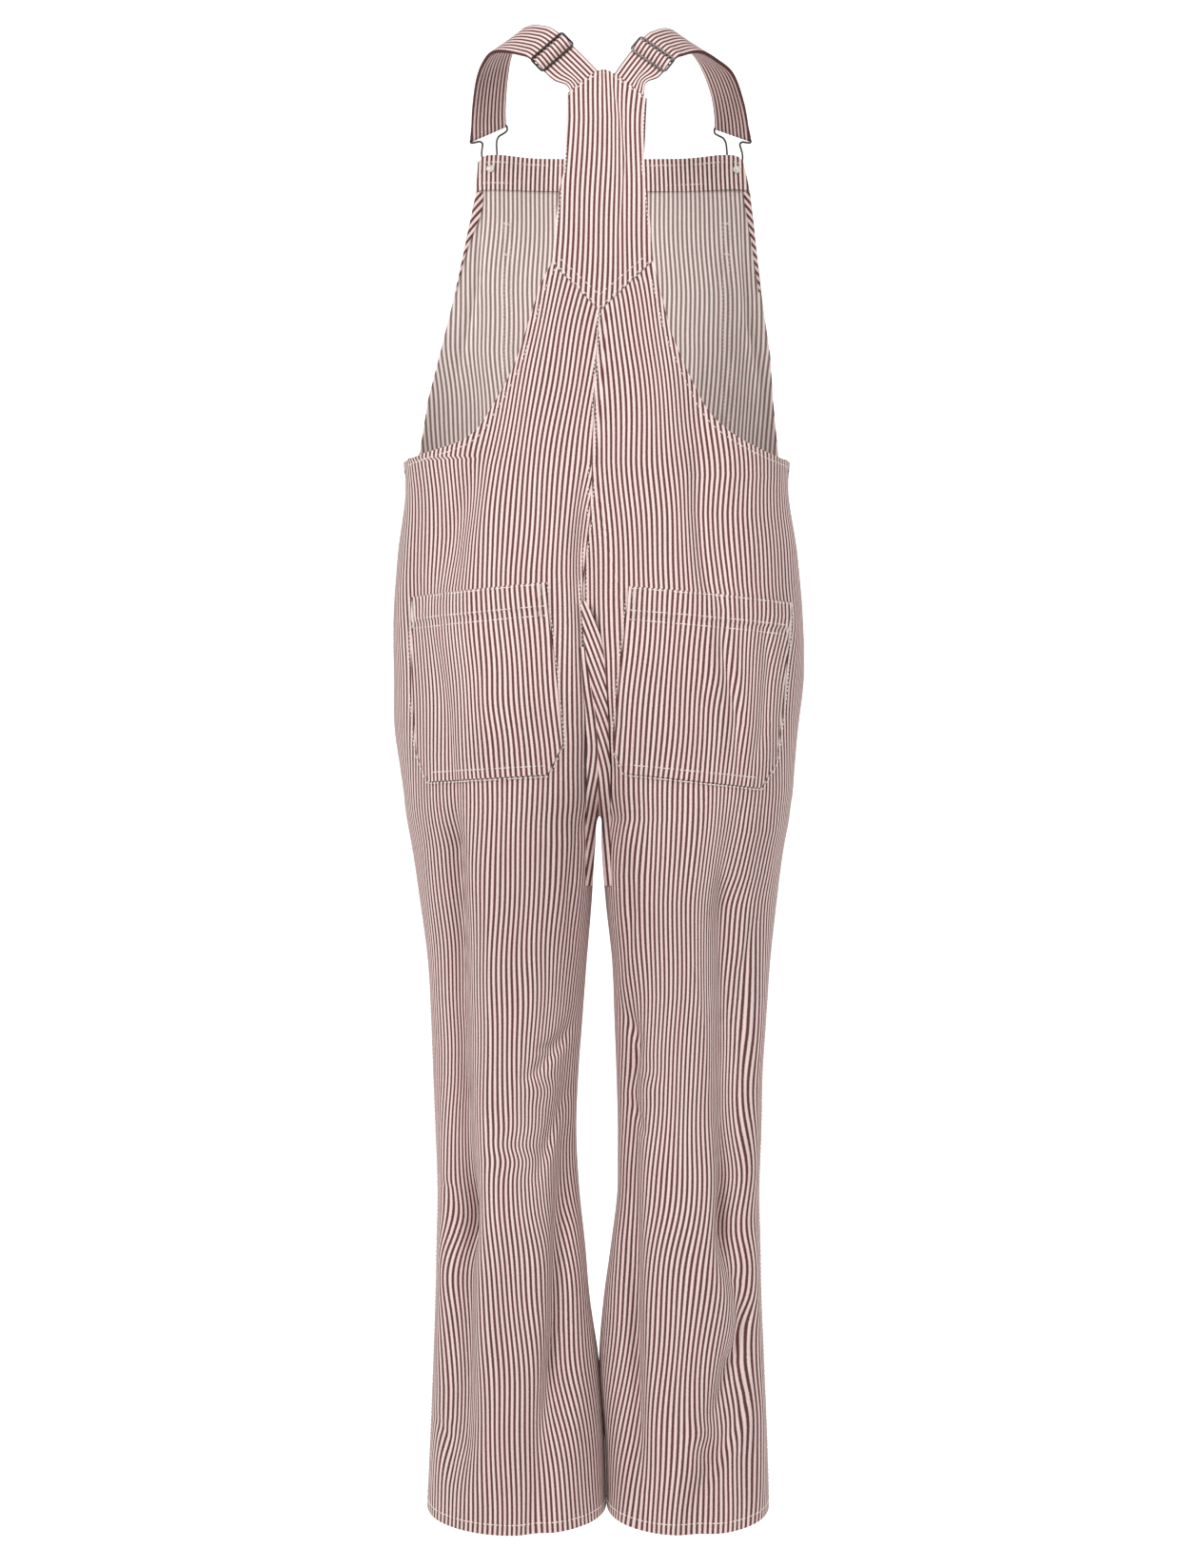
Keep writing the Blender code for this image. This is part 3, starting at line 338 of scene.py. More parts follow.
# Each fold runs straight from x0, z0 down to x1, z1.
FOLDS = table(
    "face x0 z0 x1 z1 width depth",
    (BACK, -0.136, -0.780, -0.129, -1.120, 0.0110, 0.016),
    (BACK, -0.129, -1.120, -0.131, -1.320, 0.0120, 0.013),
    (BACK, 0.117, -0.835, 0.121, -1.130, 0.0110, 0.014),
    (BACK, 0.121, -1.130, 0.140, -1.220, 0.0110, 0.011),
    (BACK, 0.140, -1.220, 0.092, -1.385, 0.0150, 0.010),
    (BACK, -0.024, -1.010, -0.035, -1.270, 0.0120, 0.010),
    (BACK, -0.035, -1.270, -0.058, -1.395, 0.0130, 0.008),
    (BACK, 0.024, -0.950, 0.026, -1.320, 0.0120, 0.010),
    (BACK, -0.108, -0.410, -0.135, -0.490, 0.0150, 0.006),
    (BACK, 0.092, -0.380, 0.108, -0.490, 0.0150, 0.006),
    (BACK, -0.016, -0.500, -0.002, -0.700, 0.0110, 0.008),
    (FRONT, -0.110, -0.760, -0.122, -1.300, 0.0140, 0.010),
    (FRONT, 0.112, -0.760, 0.118, -1.300, 0.0140, 0.010),
    (FRONT, -0.030, -0.700, -0.090, -0.640, 0.0120, 0.006),
    (FRONT, 0.030, -0.700, 0.088, -0.646, 0.0120, 0.006),
)

# %% Finer creases
# On the back: how deep, how wide towards -x and towards +x, and the path down the cloth.
CREASE = "depth left_width right_width path"
CREASES = table(
    CREASE,
    # upper left hip to pocket
    (0.0060, 0.0090, 0.0140, (
        (-0.112, -0.404), (-0.122, -0.440), (-0.139, -0.486), (-0.150, -0.528), (-0.161, -0.558),
    )),
    # left pocket and below
    (0.0050, 0.0100, 0.0070, (
        (-0.156, -0.571), (-0.146, -0.602), (-0.138, -0.651), (-0.133, -0.719), (-0.136, -0.782),
    )),
    # left leg, outer side, upper
    (0.0040, 0.0120, 0.0090, (
        (-0.136, -0.738), (-0.140, -0.835), (-0.142, -0.927), (-0.133, -0.987), (-0.127, -1.022),
    )),
    # left leg, outer side, lower
    (0.0050, 0.0160, 0.0140, (
        (-0.135, -0.978), (-0.124, -1.049), (-0.119, -1.106), (-0.132, -1.165), (-0.130, -1.227),
        (-0.122, -1.281), (-0.110, -1.323), (-0.104, -1.364),
    )),
    # left knee, upper
    (0.0045, 0.0070, 0.0040, ((-0.016, -0.922), (-0.034, -0.956), (-0.059, -0.984), (-0.079, -0.994))),
    # left knee, lower
    (0.0055, 0.0090, 0.0045, ((-0.016, -0.989), (-0.034, -1.018), (-0.050, -1.061), (-0.060, -1.091))),
    # left knee, small
    (0.0030, 0.0050, 0.0040, ((-0.027, -0.943), (-0.044, -0.959), (-0.062, -0.963))),
    # left inner valley
    (0.0100, 0.0140, 0.0060, (
        (-0.021, -1.035), (-0.026, -1.086), (-0.035, -1.224), (-0.056, -1.332), (-0.062, -1.364),
    )),
    # left lower leg, soft
    (0.0035, 0.0100, 0.0100, ((-0.079, -1.126), (-0.088, -1.223), (-0.090, -1.311))),
    # left outer edge
    (0.0035, 0.0050, 0.0050, ((-0.157, -1.302), (-0.144, -1.324), (-0.140, -1.367))),
    # left outer edge, above
    (0.0030, 0.0040, 0.0040, ((-0.157, -1.080), (-0.144, -1.094), (-0.139, -1.130))),
    # right hip
    (0.0050, 0.0090, 0.0050, ((0.091, -0.404), (0.091, -0.459), (0.097, -0.515), (0.110, -0.556))),
    # under the right pocket
    (0.0045, 0.0080, 0.0050, ((0.106, -0.555), (0.113, -0.598), (0.124, -0.651), (0.125, -0.706))),
    # right pocket, outer side
    (0.0030, 0.0060, 0.0050, ((0.149, -0.554), (0.154, -0.607), (0.149, -0.668), (0.136, -0.707))),
    # right leg upper
    (0.0040, 0.0080, 0.0100, ((0.128, -0.729), (0.118, -0.781), (0.108, -0.837), (0.103, -0.926))),
    # right leg, outer side
    (0.0040, 0.0090, 0.0130, (
        (0.103, -0.887), (0.105, -0.959), (0.109, -1.015), (0.118, -1.075), (0.126, -1.130),
        (0.134, -1.165),
    )),
    # right outer edge, upper
    (0.0045, 0.0050, 0.0070, ((0.146, -0.835), (0.135, -0.888), (0.133, -0.942), (0.142, -1.032))),
    # right knee, upper
    (0.0045, 0.0045, 0.0060, (
        (0.012, -0.909), (0.022, -0.934), (0.034, -0.958), (0.025, -0.986), (0.018, -1.007),
    )),
    # right knee, lower
    (0.0035, 0.0050, 0.0050, ((0.020, -1.006), (0.030, -1.023), (0.043, -1.044))),
    # right inner valley
    (0.0110, 0.0060, 0.0120, (
        (0.018, -0.953), (0.018, -1.094), (0.024, -1.194), (0.033, -1.311), (0.038, -1.368),
    )),
    # right lower leg, slanting
    (0.0060, 0.0090, 0.0050, (
        (0.148, -1.198), (0.139, -1.224), (0.122, -1.261), (0.111, -1.291), (0.099, -1.312),
    )),
    # where two folds meet, less deep
    (-0.0075, 0.0120, 0.0120, ((0.134, -1.180), (0.140, -1.218), (0.130, -1.254))),
    # right hem, slanting
    (0.0050, 0.0080, 0.0045, ((0.138, -1.284), (0.129, -1.313), (0.108, -1.352), (0.086, -1.378))),
    # right lower leg, soft
    (0.0030, 0.0090, 0.0090, ((0.062, -1.162), (0.067, -1.240), (0.072, -1.311))),
    # right outer edge, lower
    (0.0030, 0.0040, 0.0040, ((0.152, -1.213), (0.149, -1.273), (0.149, -1.343))),
    # left of the seat seam
    (0.0030, 0.0080, 0.0040, ((-0.011, -0.414), (-0.012, -0.467), (-0.016, -0.520), (-0.017, -0.555))),
    # seat, left of the fan
    (0.0015, 0.0050, 0.0040, ((-0.003, -0.607), (-0.002, -0.659), (-0.007, -0.720), (-0.013, -0.773))),
    # seat, right of the fan
    (0.0015, 0.0040, 0.0050, ((0.005, -0.633), (0.010, -0.685), (0.014, -0.738), (0.018, -0.782))),
    # left thigh inner
    (0.0030, 0.0050, 0.0050, ((-0.018, -0.747), (-0.026, -0.808), (-0.025, -0.871))),
    # right thigh inner
    (0.0030, 0.0060, 0.0060, ((0.022, -0.764), (0.028, -0.835), (0.020, -0.898))),
    # left thigh, soft
    (0.0025, 0.0100, 0.0100, ((-0.079, -0.781), (-0.072, -0.852), (-0.079, -0.941))),
)
print("folds:", len(FOLDS), "creases:", len(CREASES))

# %% Reading a table
def column(rows, name, key, at):
    """The named column of a table at a key, with straight runs between the rows."""
    keys = [getattr(row, key) for row in rows]
    return np.interp(at, keys, [getattr(row, name) for row in rows])


def smooth_column(rows, name, key, at):
    """As column, but rounded through the rows (a Catmull-Rom curve)."""
    keys = np.array([getattr(row, key) for row in rows])
    values = np.array([getattr(row, name) for row in rows])
    slopes = np.gradient(values, keys)
    at = np.clip(at, keys[0], keys[-1])
    i = np.clip(np.searchsorted(keys, at) - 1, 0, len(keys) - 2)
    gap = keys[i + 1] - keys[i]
    t = (at - keys[i]) / gap
    rise = values[i + 1] - values[i]
    bend = t * (1 - t) * ((1 - t) * (slopes[i] * gap - rise) - t * (slopes[i + 1] * gap - rise))
    low, high = np.minimum(values[i], values[i + 1]), np.maximum(values[i], values[i + 1])
    return np.clip(values[i] + t * rise + bend, low, high)


print("right side at the hip: x =", round(float(smooth_column(SECTIONS, "right", "z", -0.52)), 4))


# %% Level ovals
def oval(side, face, z):
    """(middle, half width, depth, squareness) of one half's level ovals."""
    outer = smooth_column(SECTIONS, SIDE_NAME[side], "z", z)
    inner = smooth_column(SECTIONS, SIDE_NAME[side] + "_in", "z", z)
    depth = smooth_column(SECTIONS, "back" if face == BACK else "front", "z", z)
    return (outer + inner) / 2, np.abs(outer - inner) / 2, depth, smooth_column(SECTIONS, "square", "z", z)


def round_oval(side, middle, half, square, turn):
    """x of the points an angle `turn` round one half's oval, from its inner end."""
    return middle - side * half * np.sign(np.cos(turn)) * np.abs(np.cos(turn)) ** (2 / square)


# %% Distance from a path
def off_path(path, x, z):
    """(signed distance to a path that runs downwards, share of the path's length) at x, z."""
    path = np.array(path)
    runs = np.diff(path, axis=0)
    sizes = np.linalg.norm(runs, axis=1)
    nearest = np.full(x.shape, 9.0)
    signed, share = np.zeros(x.shape), np.zeros(x.shape)
    for start, run, size, before in zip(path, runs, sizes, np.cumsum(sizes) - sizes):
        along = np.clip(((x - start[0]) * run[0] + (z - start[1]) * run[1]) / size**2, 0, 1)
        off_x, off_z = x - start[0] - along * run[0], z - start[1] - along * run[1]
        away = np.hypot(off_x, off_z)
        closer = away < nearest
        nearest = np.where(closer, away, nearest)
        signed = np.where(closer, away * np.sign(run[0] * off_z - run[1] * off_x), signed)
        share = np.where(closer, (before + along * size) / sizes.sum(), share)
    return signed, share


# %% Folds and creases
FOLD_END = 3.0  # how many times its width a fold takes to die out past its ends


def pressed(face, x, z):
    """How deep folds and creases press the skin in at x, z."""
    depth = np.zeros(x.shape)
    for fold in (fold for fold in FOLDS if fold.face == face):
        run = np.array([fold.x1 - fold.x0, fold.z1 - fold.z0])
        along = np.clip(((x - fold.x0) * run[0] + (z - fold.z0) * run[1]) / (run @ run), 0, 1)
        off_x, off_z = x - fold.x0 - along * run[0], (z - fold.z0 - along * run[1]) / FOLD_END
        depth += fold.depth * np.exp(-(off_x**2 + off_z**2) / fold.width**2)
    for crease in CREASES if face == BACK else ():
        off, share = off_path(crease.path, x, z)
        width = np.where(off < 0, crease.left_width, crease.right_width)
        depth += crease.depth * np.sin(pi * share) ** 0.8 * np.exp(-((off / width) ** 2))
    return depth


# %% The skin itself
def skin(side, face, x, z):
    """Points (..., 3) of the outer face of the cloth at x, z."""
    x, z = (np.array(part) for part in np.broadcast_arrays(np.asarray(x, float), np.asarray(z, float)))
    middle, half, depth, square = oval(side, face, z)
    share = np.clip((x - middle) / half, -1, 1)
    y = np.maximum(1 - np.abs(share) ** square, 0) ** (1 / square)
    normal_x = np.sign(share) * np.abs(share) ** (square - 1) / half
    normal_y = y ** (square - 1) / depth
    # Folds die out towards the seams, so that back and front meet there.
    push = pressed(face, x, z) * (1 - np.abs(share) ** 6) / np.hypot(normal_x, normal_y)
    return np.stack([x - push * normal_x, face * (y * depth - push * normal_y), z], axis=-1)


print("seat, left half:", skin(LEFT, BACK, -0.100, -0.600).round(4))


# %% [markdown]
# ## Where the stripes run
# On a real panel the stripes are straight in the cut and bend only with the cloth. So each point's
# coordinate across the stripes is its distance along the cloth, measured level, from one grain
# line. The grain lines lean in towards the yoke and hang plumb down the legs. Blender could unwrap
# each piece instead, but it would spread the stretch evenly, where real cloth bunches at its folds.

# %% Grain lines
GRAIN = table(
    "z left right",
    (-1.420, -0.0650, 0.0360), (-1.350, -0.0660, 0.0400), (-1.263, -0.0680, 0.0455),
    (-1.175, -0.0755, 0.0520), (-1.088, -0.0820, 0.0640), (-1.000, -0.0830, 0.0690),
    (-0.913, -0.0835, 0.0735), (-0.825, -0.0810, 0.0735), (-0.736, -0.0775, 0.0790),
    (-0.620, -0.0780, 0.0780), (-0.520, -0.0785, 0.0750), (-0.385, -0.0665, 0.0665),
    (-0.335, -0.0580, 0.0620), (-0.270, -0.0450, 0.0530), (-0.200, -0.0310, 0.0440),
)
print("grain line from", GRAIN[0].z, "to", GRAIN[-1].z)

# %% Bunches
# Where the cloth bunches up, more stripes stand side by side than the skin has room for. Each
# knot gives the middle of the band, its half width, and the slack that it takes in (or gives).
KNOT = "z x half slack"
BUNCHES = table(
    "side knots",
    # down the outer side of the left leg
    (LEFT, table(
        KNOT,
        (-1.425, -0.1340, 0.022, 0.000), (-1.350, -0.1330, 0.022, 0.008),
        (-1.307, -0.1330, 0.022, 0.015), (-1.262, -0.1335, 0.022, 0.014),
        (-1.219, -0.1340, 0.022, 0.010), (-1.175, -0.1330, 0.023, 0.007),
        (-1.132, -0.1320, 0.024, 0.012), (-1.060, -0.1320, 0.024, 0.030),
        (-1.010, -0.1320, 0.026, 0.038), (-0.957, -0.1320, 0.028, 0.041),
        (-0.869, -0.1320, 0.030, 0.030), (-0.782, -0.1370, 0.030, 0.017),
        (-0.700, -0.1390, 0.032, 0.020), (-0.624, -0.1400, 0.034, 0.024),
        (-0.554, -0.1440, 0.026, 0.020), (-0.467, -0.1290, 0.022, 0.015),
        (-0.414, -0.1240, 0.020, 0.004),
    )),
    # stretched flat along the left leg's edge
    (LEFT, table(
        KNOT,
        (-1.425, -0.1520, 0.012, -0.004), (-1.350, -0.1520, 0.012, -0.009),
        (-1.262, -0.1500, 0.012, -0.012), (-1.175, -0.1490, 0.012, -0.012),
        (-1.100, -0.1480, 0.012, -0.010), (-1.010, -0.1500, 0.012, -0.008),
        (-0.930, -0.1530, 0.012, -0.005), (-0.850, -0.1580, 0.012, -0.003),
        (-0.740, -0.1700, 0.012, -0.004), (-0.666, -0.1790, 0.012, -0.007),
        (-0.612, -0.1820, 0.012, -0.010), (-0.540, -0.1830, 0.012, -0.011),
        (-0.470, -0.1800, 0.012, -0.007), (-0.412, -0.1750, 0.012, -0.003),
    )),
    # round the left knee's inner side, stretched on the thigh above
    (LEFT, table(
        KNOT,
        (-1.300, -0.0470, 0.018, 0.000), (-1.262, -0.0465, 0.020, -0.002),
        (-1.219, -0.0460, 0.022, -0.003), (-1.175, -0.0460, 0.026, -0.001),
        (-1.143, -0.0460, 0.028, 0.006), (-1.100, -0.0520, 0.032, 0.0155),
        (-1.060, -0.0560, 0.034, 0.020), (-1.020, -0.0520, 0.032, 0.018),
        (-0.965, -0.0450, 0.027, 0.020), (-0.915, -0.0430, 0.024, 0.011),
        (-0.869, -0.0420, 0.022, 0.0015), (-0.825, -0.0360, 0.022, -0.006),
        (-0.782, -0.0280, 0.022, -0.011), (-0.740, -0.0270, 0.022, -0.010),
        (-0.700, -0.0260, 0.022, -0.004), (-0.660, -0.0250, 0.022, 0.000),
    )),
    # the left leg's inner valley
    (LEFT, table(
        KNOT,
        (-1.425, -0.0620, 0.010, -0.004), (-1.394, -0.0580, 0.010, -0.0025),
        (-1.350, -0.0550, 0.011, 0.001), (-1.307, -0.0515, 0.012, 0.0055),
        (-1.260, -0.0440, 0.011, 0.007), (-1.219, -0.0375, 0.010, 0.0066),
        (-1.170, -0.0340, 0.010, 0.0027), (-1.130, -0.0330, 0.010, 0.000),
    )),
    # beside the centre seam
    (LEFT, table(
        KNOT,
        (-0.660, -0.0120, 0.008, 0.000), (-0.600, -0.0190, 0.008, 0.003),
        (-0.530, -0.0210, 0.008, 0.006), (-0.467, -0.0190, 0.008, 0.007),
        (-0.420, -0.0140, 0.008, 0.000),
    )),
    # under the left armhole
    (LEFT, table(
        KNOT,
        (-0.420, -0.0850, 0.022, 0.000), (-0.334, -0.0760, 0.022, 0.009),
        (-0.288, -0.0560, 0.016, 0.005), (-0.250, -0.0500, 0.016, 0.000),
    )),
    # under the right armhole
    (RIGHT, table(
        KNOT,
        (-0.420, 0.0700, 0.024, 0.000), (-0.334, 0.0620, 0.024, 0.008),
        (-0.288, 0.0560, 0.020, 0.007), (-0.250, 0.0400, 0.016, 0.002),
    )),
    # on the right hip
    (RIGHT, table(
        KNOT,
        (-0.570, 0.0900, 0.012, 0.000), (-0.530, 0.0850, 0.012, 0.004),
        (-0.467, 0.0790, 0.012, 0.004), (-0.430, 0.0780, 0.012, 0.000),
    )),
    # under the right pocket
    (RIGHT, table(
        KNOT,
        (-0.760, 0.1400, 0.020, 0.000), (-0.700, 0.1450, 0.020, 0.008),
        (-0.624, 0.1470, 0.018, 0.013), (-0.560, 0.1450, 0.020, 0.000),
    )),
    # down the outer side of the right leg
    (RIGHT, table(
        KNOT,
        (-1.425, 0.0780, 0.011, -0.003), (-1.394, 0.0840, 0.011, -0.002),
        (-1.364, 0.0900, 0.011, 0.000), (-1.311, 0.1030, 0.012, 0.0035),
        (-1.267, 0.1140, 0.012, 0.0060), (-1.223, 0.1250, 0.013, 0.0070),
        (-1.180, 0.1310, 0.014, 0.0060), (-1.135, 0.1350, 0.015, 0.0065),
        (-1.090, 0.1270, 0.014, 0.0100), (-1.047, 0.1190, 0.013, 0.015),
        (-0.957, 0.1130, 0.014, 0.020), (-0.869, 0.1030, 0.016, 0.018),
        (-0.782, 0.1070, 0.017, 0.015), (-0.740, 0.1120, 0.017, 0.010),
        (-0.700, 0.1160, 0.016, 0.004), (-0.660, 0.1180, 0.016, 0.000),
    )),
    # stretched flat along the right leg's edge
    (RIGHT, table(
        KNOT,
        (-1.425, 0.1450, 0.014, -0.007), (-1.350, 0.1460, 0.014, -0.0125),
        (-1.262, 0.1460, 0.014, -0.014), (-1.055, 0.1440, 0.014, -0.0135),
        (-0.957, 0.1460, 0.014, -0.013), (-0.869, 0.1520, 0.014, -0.010),
        (-0.800, 0.1580, 0.014, -0.005), (-0.740, 0.1670, 0.014, -0.006),
        (-0.666, 0.1760, 0.012, -0.008), (-0.600, 0.1810, 0.012, -0.008),
        (-0.500, 0.1780, 0.012, -0.006), (-0.412, 0.1720, 0.012, -0.002),
    )),
    # across the right knee
    (RIGHT, table(
        KNOT,
        (-1.405, 0.0750, 0.040, 0.000), (-1.350, 0.0750, 0.040, -0.0055),
        (-1.262, 0.0780, 0.040, 0.000), (-1.175, 0.0800, 0.040, -0.005),
        (-1.080, 0.0800, 0.045, -0.001), (-1.010, 0.0760, 0.045, 0.012),
        (-0.957, 0.0730, 0.045, 0.015), (-0.869, 0.0730, 0.045, 0.010),
        (-0.800, 0.0730, 0.045, 0.000),
    )),
    # the right leg's inner valley, stretched up the inner thigh
    (RIGHT, table(
        KNOT,
        (-1.425, 0.0300, 0.012, -0.008), (-1.350, 0.0290, 0.012, -0.0025),
        (-1.307, 0.0280, 0.012, 0.001), (-1.262, 0.0290, 0.012, 0.0036),
        (-1.219, 0.0305, 0.012, 0.0055), (-1.175, 0.0270, 0.012, 0.003),
        (-1.132, 0.0230, 0.013, -0.002), (-1.088, 0.0215, 0.013, -0.006),
        (-1.000, 0.0230, 0.016, -0.009), (-0.957, 0.0240, 0.018, -0.010),
        (-0.913, 0.0230, 0.020, -0.013), (-0.869, 0.0240, 0.022, -0.015),
        (-0.825, 0.0240, 0.022, -0.0145), (-0.782, 0.0240, 0.022, -0.0135),
        (-0.740, 0.0200, 0.020, -0.011), (-0.700, 0.0190, 0.020, -0.005),
        (-0.660, 0.0180, 0.020, 0.000),
    )),
)
print("bunches:", len(BUNCHES), "knots:", sum(len(bunch.knots) for bunch in BUNCHES))

# %% Kinks
# Where stripes step sideways: a positive step goes to the left on the way up.
KINKS = table(
    "side x z wide tall step",
    (LEFT, -0.0700, -1.0580, 0.0260, 0.0090, 0.0040),
    (LEFT, -0.0530, -0.9930, 0.0120, 0.0090, 0.0045),
    (LEFT, -0.0940, -0.6560, 0.0200, 0.0200, 0.0020),
    (LEFT, -0.0600, -0.8900, 0.0300, 0.0300, 0.0018),
    (LEFT, -0.0480, -1.1350, 0.0220, 0.0250, 0.0030),
    (RIGHT, 0.0985, -1.3260, 0.0120, 0.0100, -0.0034),
    (RIGHT, 0.1380, -1.2050, 0.0120, 0.0120, -0.0004),
    (RIGHT, 0.0560, -1.1300, 0.0300, 0.0220, -0.0012),
    (RIGHT, 0.0420, -0.9900, 0.0140, 0.0100, -0.0025),
    (RIGHT, 0.1050, -0.6300, 0.0200, 0.0200, -0.0022),
)
print("kinks:", len(KINKS))

# %% Lengths along the cloth
FINE = 420  # points along a level oval when its length is measured


def steps_along(points):
    """The distance gone at each point of a path."""
    return np.concatenate([[0], np.cumsum(np.linalg.norm(np.diff(points, axis=0), axis=1))])


def level_run(side, face, z):
    """(x, length along the cloth) from the inner end of one half's oval out to its side seam."""
    middle, half, _, square = oval(side, face, z)
    x = round_oval(side, middle, half, square, np.linspace(0, pi, FINE))
    if z > CROTCH_Z:
        seam = float(column(CENTRE_BACK, "x", "z", z)) if face == BACK else 0.0
        seam += side * SEAM / 2
        x = np.concatenate([[seam], x[side * x > side * seam + 1e-6]])
    return x, steps_along(skin(side, face, x, z))


def level_x(side, face, z, u, spare_length):
    """x of the points a share u of the way from the inner end to the side, seam gaps left out."""
    x, lengths = level_run(side, face, z)
    length, spare = lengths[-1], 0.0
    if z > CROTCH_Z:
        fade = np.clip(1 - (z - CROTCH_Z) / SEAT_BLEND, 0, 1)
        spare = max(0.0, spare_length - length) * fade
    left = 1 - u
    # Over the crotch the spare columns close up at the centre seam and keep their width outside it.
    from_side = (length + spare) * left - spare * left**4
    gap = SEAM / 2
    inner_gap = gap if z <= CROTCH_Z else 0.0
    return np.interp(np.clip(length - from_side, inner_gap, length - gap), lengths, x)


print("left back at the knee:", round(level_run(LEFT, BACK, -1.0)[1][-1], 4), "m along the cloth")


# %% Evening out
def evened(lengths, reach=7):
    """Averages a table of lengths up and down, because cloth passes a fold's slack along."""
    weights = np.exp(-((np.arange(-2 * reach, 2 * reach + 1) / reach) ** 2))
    padded = np.pad(lengths, ((2 * reach, 2 * reach), (0, 0)), mode="edge")
    return sum(w * padded[k:k + len(lengths)] for k, w in enumerate(weights)) / weights.sum()


def step_up(t):
    """Smooth step from 0 at -1 to 1 at 1."""
    t = np.clip(t / 2 + 0.5, 0, 1)
    return t * t * t * (10 - 15 * t + 6 * t * t) * 0.25 + t * t * (3 - 2 * t) * 0.25 + t * 0.5


# %% The map of the cloth
MAP_FOOT, MAP_TOP, MAP_ROW, MAP_COLUMNS = -1.425, -0.05, 0.003, 360
WAVER = 0.0005  # how far any stripe strays from its line


class ClothMap:
    """Distance across the stripes anywhere on one half of the back or the front."""

    def __init__(self, side, face):
        self.side, self.face = side, face
        self.z = np.arange(MAP_FOOT, MAP_TOP, MAP_ROW)
        self.turn = np.linspace(0, pi, MAP_COLUMNS)
        middle, half, _, square = (part[:, None] for part in oval(side, face, self.z))
        x = round_oval(side, middle, half, square, self.turn)
        points = skin(side, face, x, self.z[:, None])
        moves = np.linalg.norm(np.diff(points, axis=1), axis=2)
        self.lengths = np.concatenate([np.zeros((len(self.z), 1)), np.cumsum(moves, axis=1)], axis=1)
        self.lengths = evened(self.lengths)
        grain = smooth_column(GRAIN, SIDE_NAME[side], "z", self.z)
        self.lengths -= self.read(grain, self.z)[:, None]

    def read(self, x, z):
        """The length in the table at x, z, between its four nearest points."""
        middle, half, _, square = oval(self.side, self.face, z)
        share = np.clip((x - middle) / half, -1, 1) * -self.side
        turn = np.arccos(np.sign(share) * np.abs(share) ** (square / 2)) / pi * (len(self.turn) - 1)
        row = np.clip((z - self.z[0]) / (self.z[1] - self.z[0]), 0, len(self.z) - 1.001)
        i, j = row.astype(int), np.clip(turn, 0, len(self.turn) - 1.001).astype(int)
        s, t = row - i, np.clip(turn, 0, len(self.turn) - 1.001) - j
        grid = self.lengths
        low = grid[i, j] * (1 - t) + grid[i, j + 1] * t
        high = grid[i + 1, j] * (1 - t) + grid[i + 1, j + 1] * t
        return low * (1 - s) + high * s

    def across(self, x, z):
        """Distance across the stripes at x, z, with the bunches and kinks of the back."""
        across = self.side * self.read(x, z)
        if self.face == FRONT:
            return across
        grain = smooth_column(GRAIN, SIDE_NAME[self.side], "z", z)
        for bunch in (bunch for bunch in BUNCHES if bunch.side == self.side):
            middle = smooth_column(bunch.knots, "x", "z", z)
            half = smooth_column(bunch.knots, "half", "z", z)
            slack = smooth_column(bunch.knots, "slack", "z", z)
            slack = slack * (z > bunch.knots[0].z) * (z < bunch.knots[-1].z)
            across = across + slack * (step_up((x - middle) / half) - step_up((grain - middle) / half))
        for kink in (kink for kink in KINKS if kink.side == self.side):
            up = (z - kink.z) / kink.tall
            across = across + kink.step * up * np.exp(-up**2 / 2 - ((x - kink.x) / kink.wide) ** 2)
        return across + WAVER * (np.sin(90 * x + 31 * z) + np.sin(57 * z - 40 * x + 2 * self.side))


MAPS = {(side, face): ClothMap(side, face) for side in (LEFT, RIGHT) for face in (BACK, FRONT)}
print("cloth maps:", len(MAPS))

# %% [markdown]
# ## Shells
# A piece of cloth is a grid of points with a thickness: an outer face, an inner face and a rim
# that joins them. The outer face has the right side of the cloth and the inner face the wrong one.
# A Solidify modifier would thicken it evenly. Here the hems and bands are double, so the inner face
# is made point by point.

# %% Normals and areas of a grid
def outward_normals(points, outward):
    across, along = np.gradient(points, axis=1), np.gradient(points, axis=0)
    normals = outward * np.cross(across, along)
    return normals / np.linalg.norm(normals, axis=2, keepdims=True)


def cut_area(cloth):
    """Area of the flat cut: the sum of its grid's cells."""
    step_u, step_v = cloth[:-1, 1:] - cloth[:-1, :-1], cloth[1:, :-1] - cloth[:-1, :-1]
    return float(np.abs(step_u[..., 0] * step_v[..., 1] - step_u[..., 1] * step_v[..., 0]).sum())


# %% The shell builder
PIECES = {}  # each piece of cloth with its flat size and area
GRIDS = {}  # its outer points and normals, for the rows of stitches
NARROWEST = 0.010  # metres of width that even the narrowest strip is cut to


def enter(piece, replaces=None):
    """Attaches a finished piece to the frame and hides the solid that it stands for."""
    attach(piece, "root")
    if replaces:
        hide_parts(replaces)


def add_piece(name, mesh, replaces=None):
    piece = bpy.data.objects.new(name, mesh)
    bpy.context.collection.objects.link(piece)
    enter(piece, replaces)
    return piece


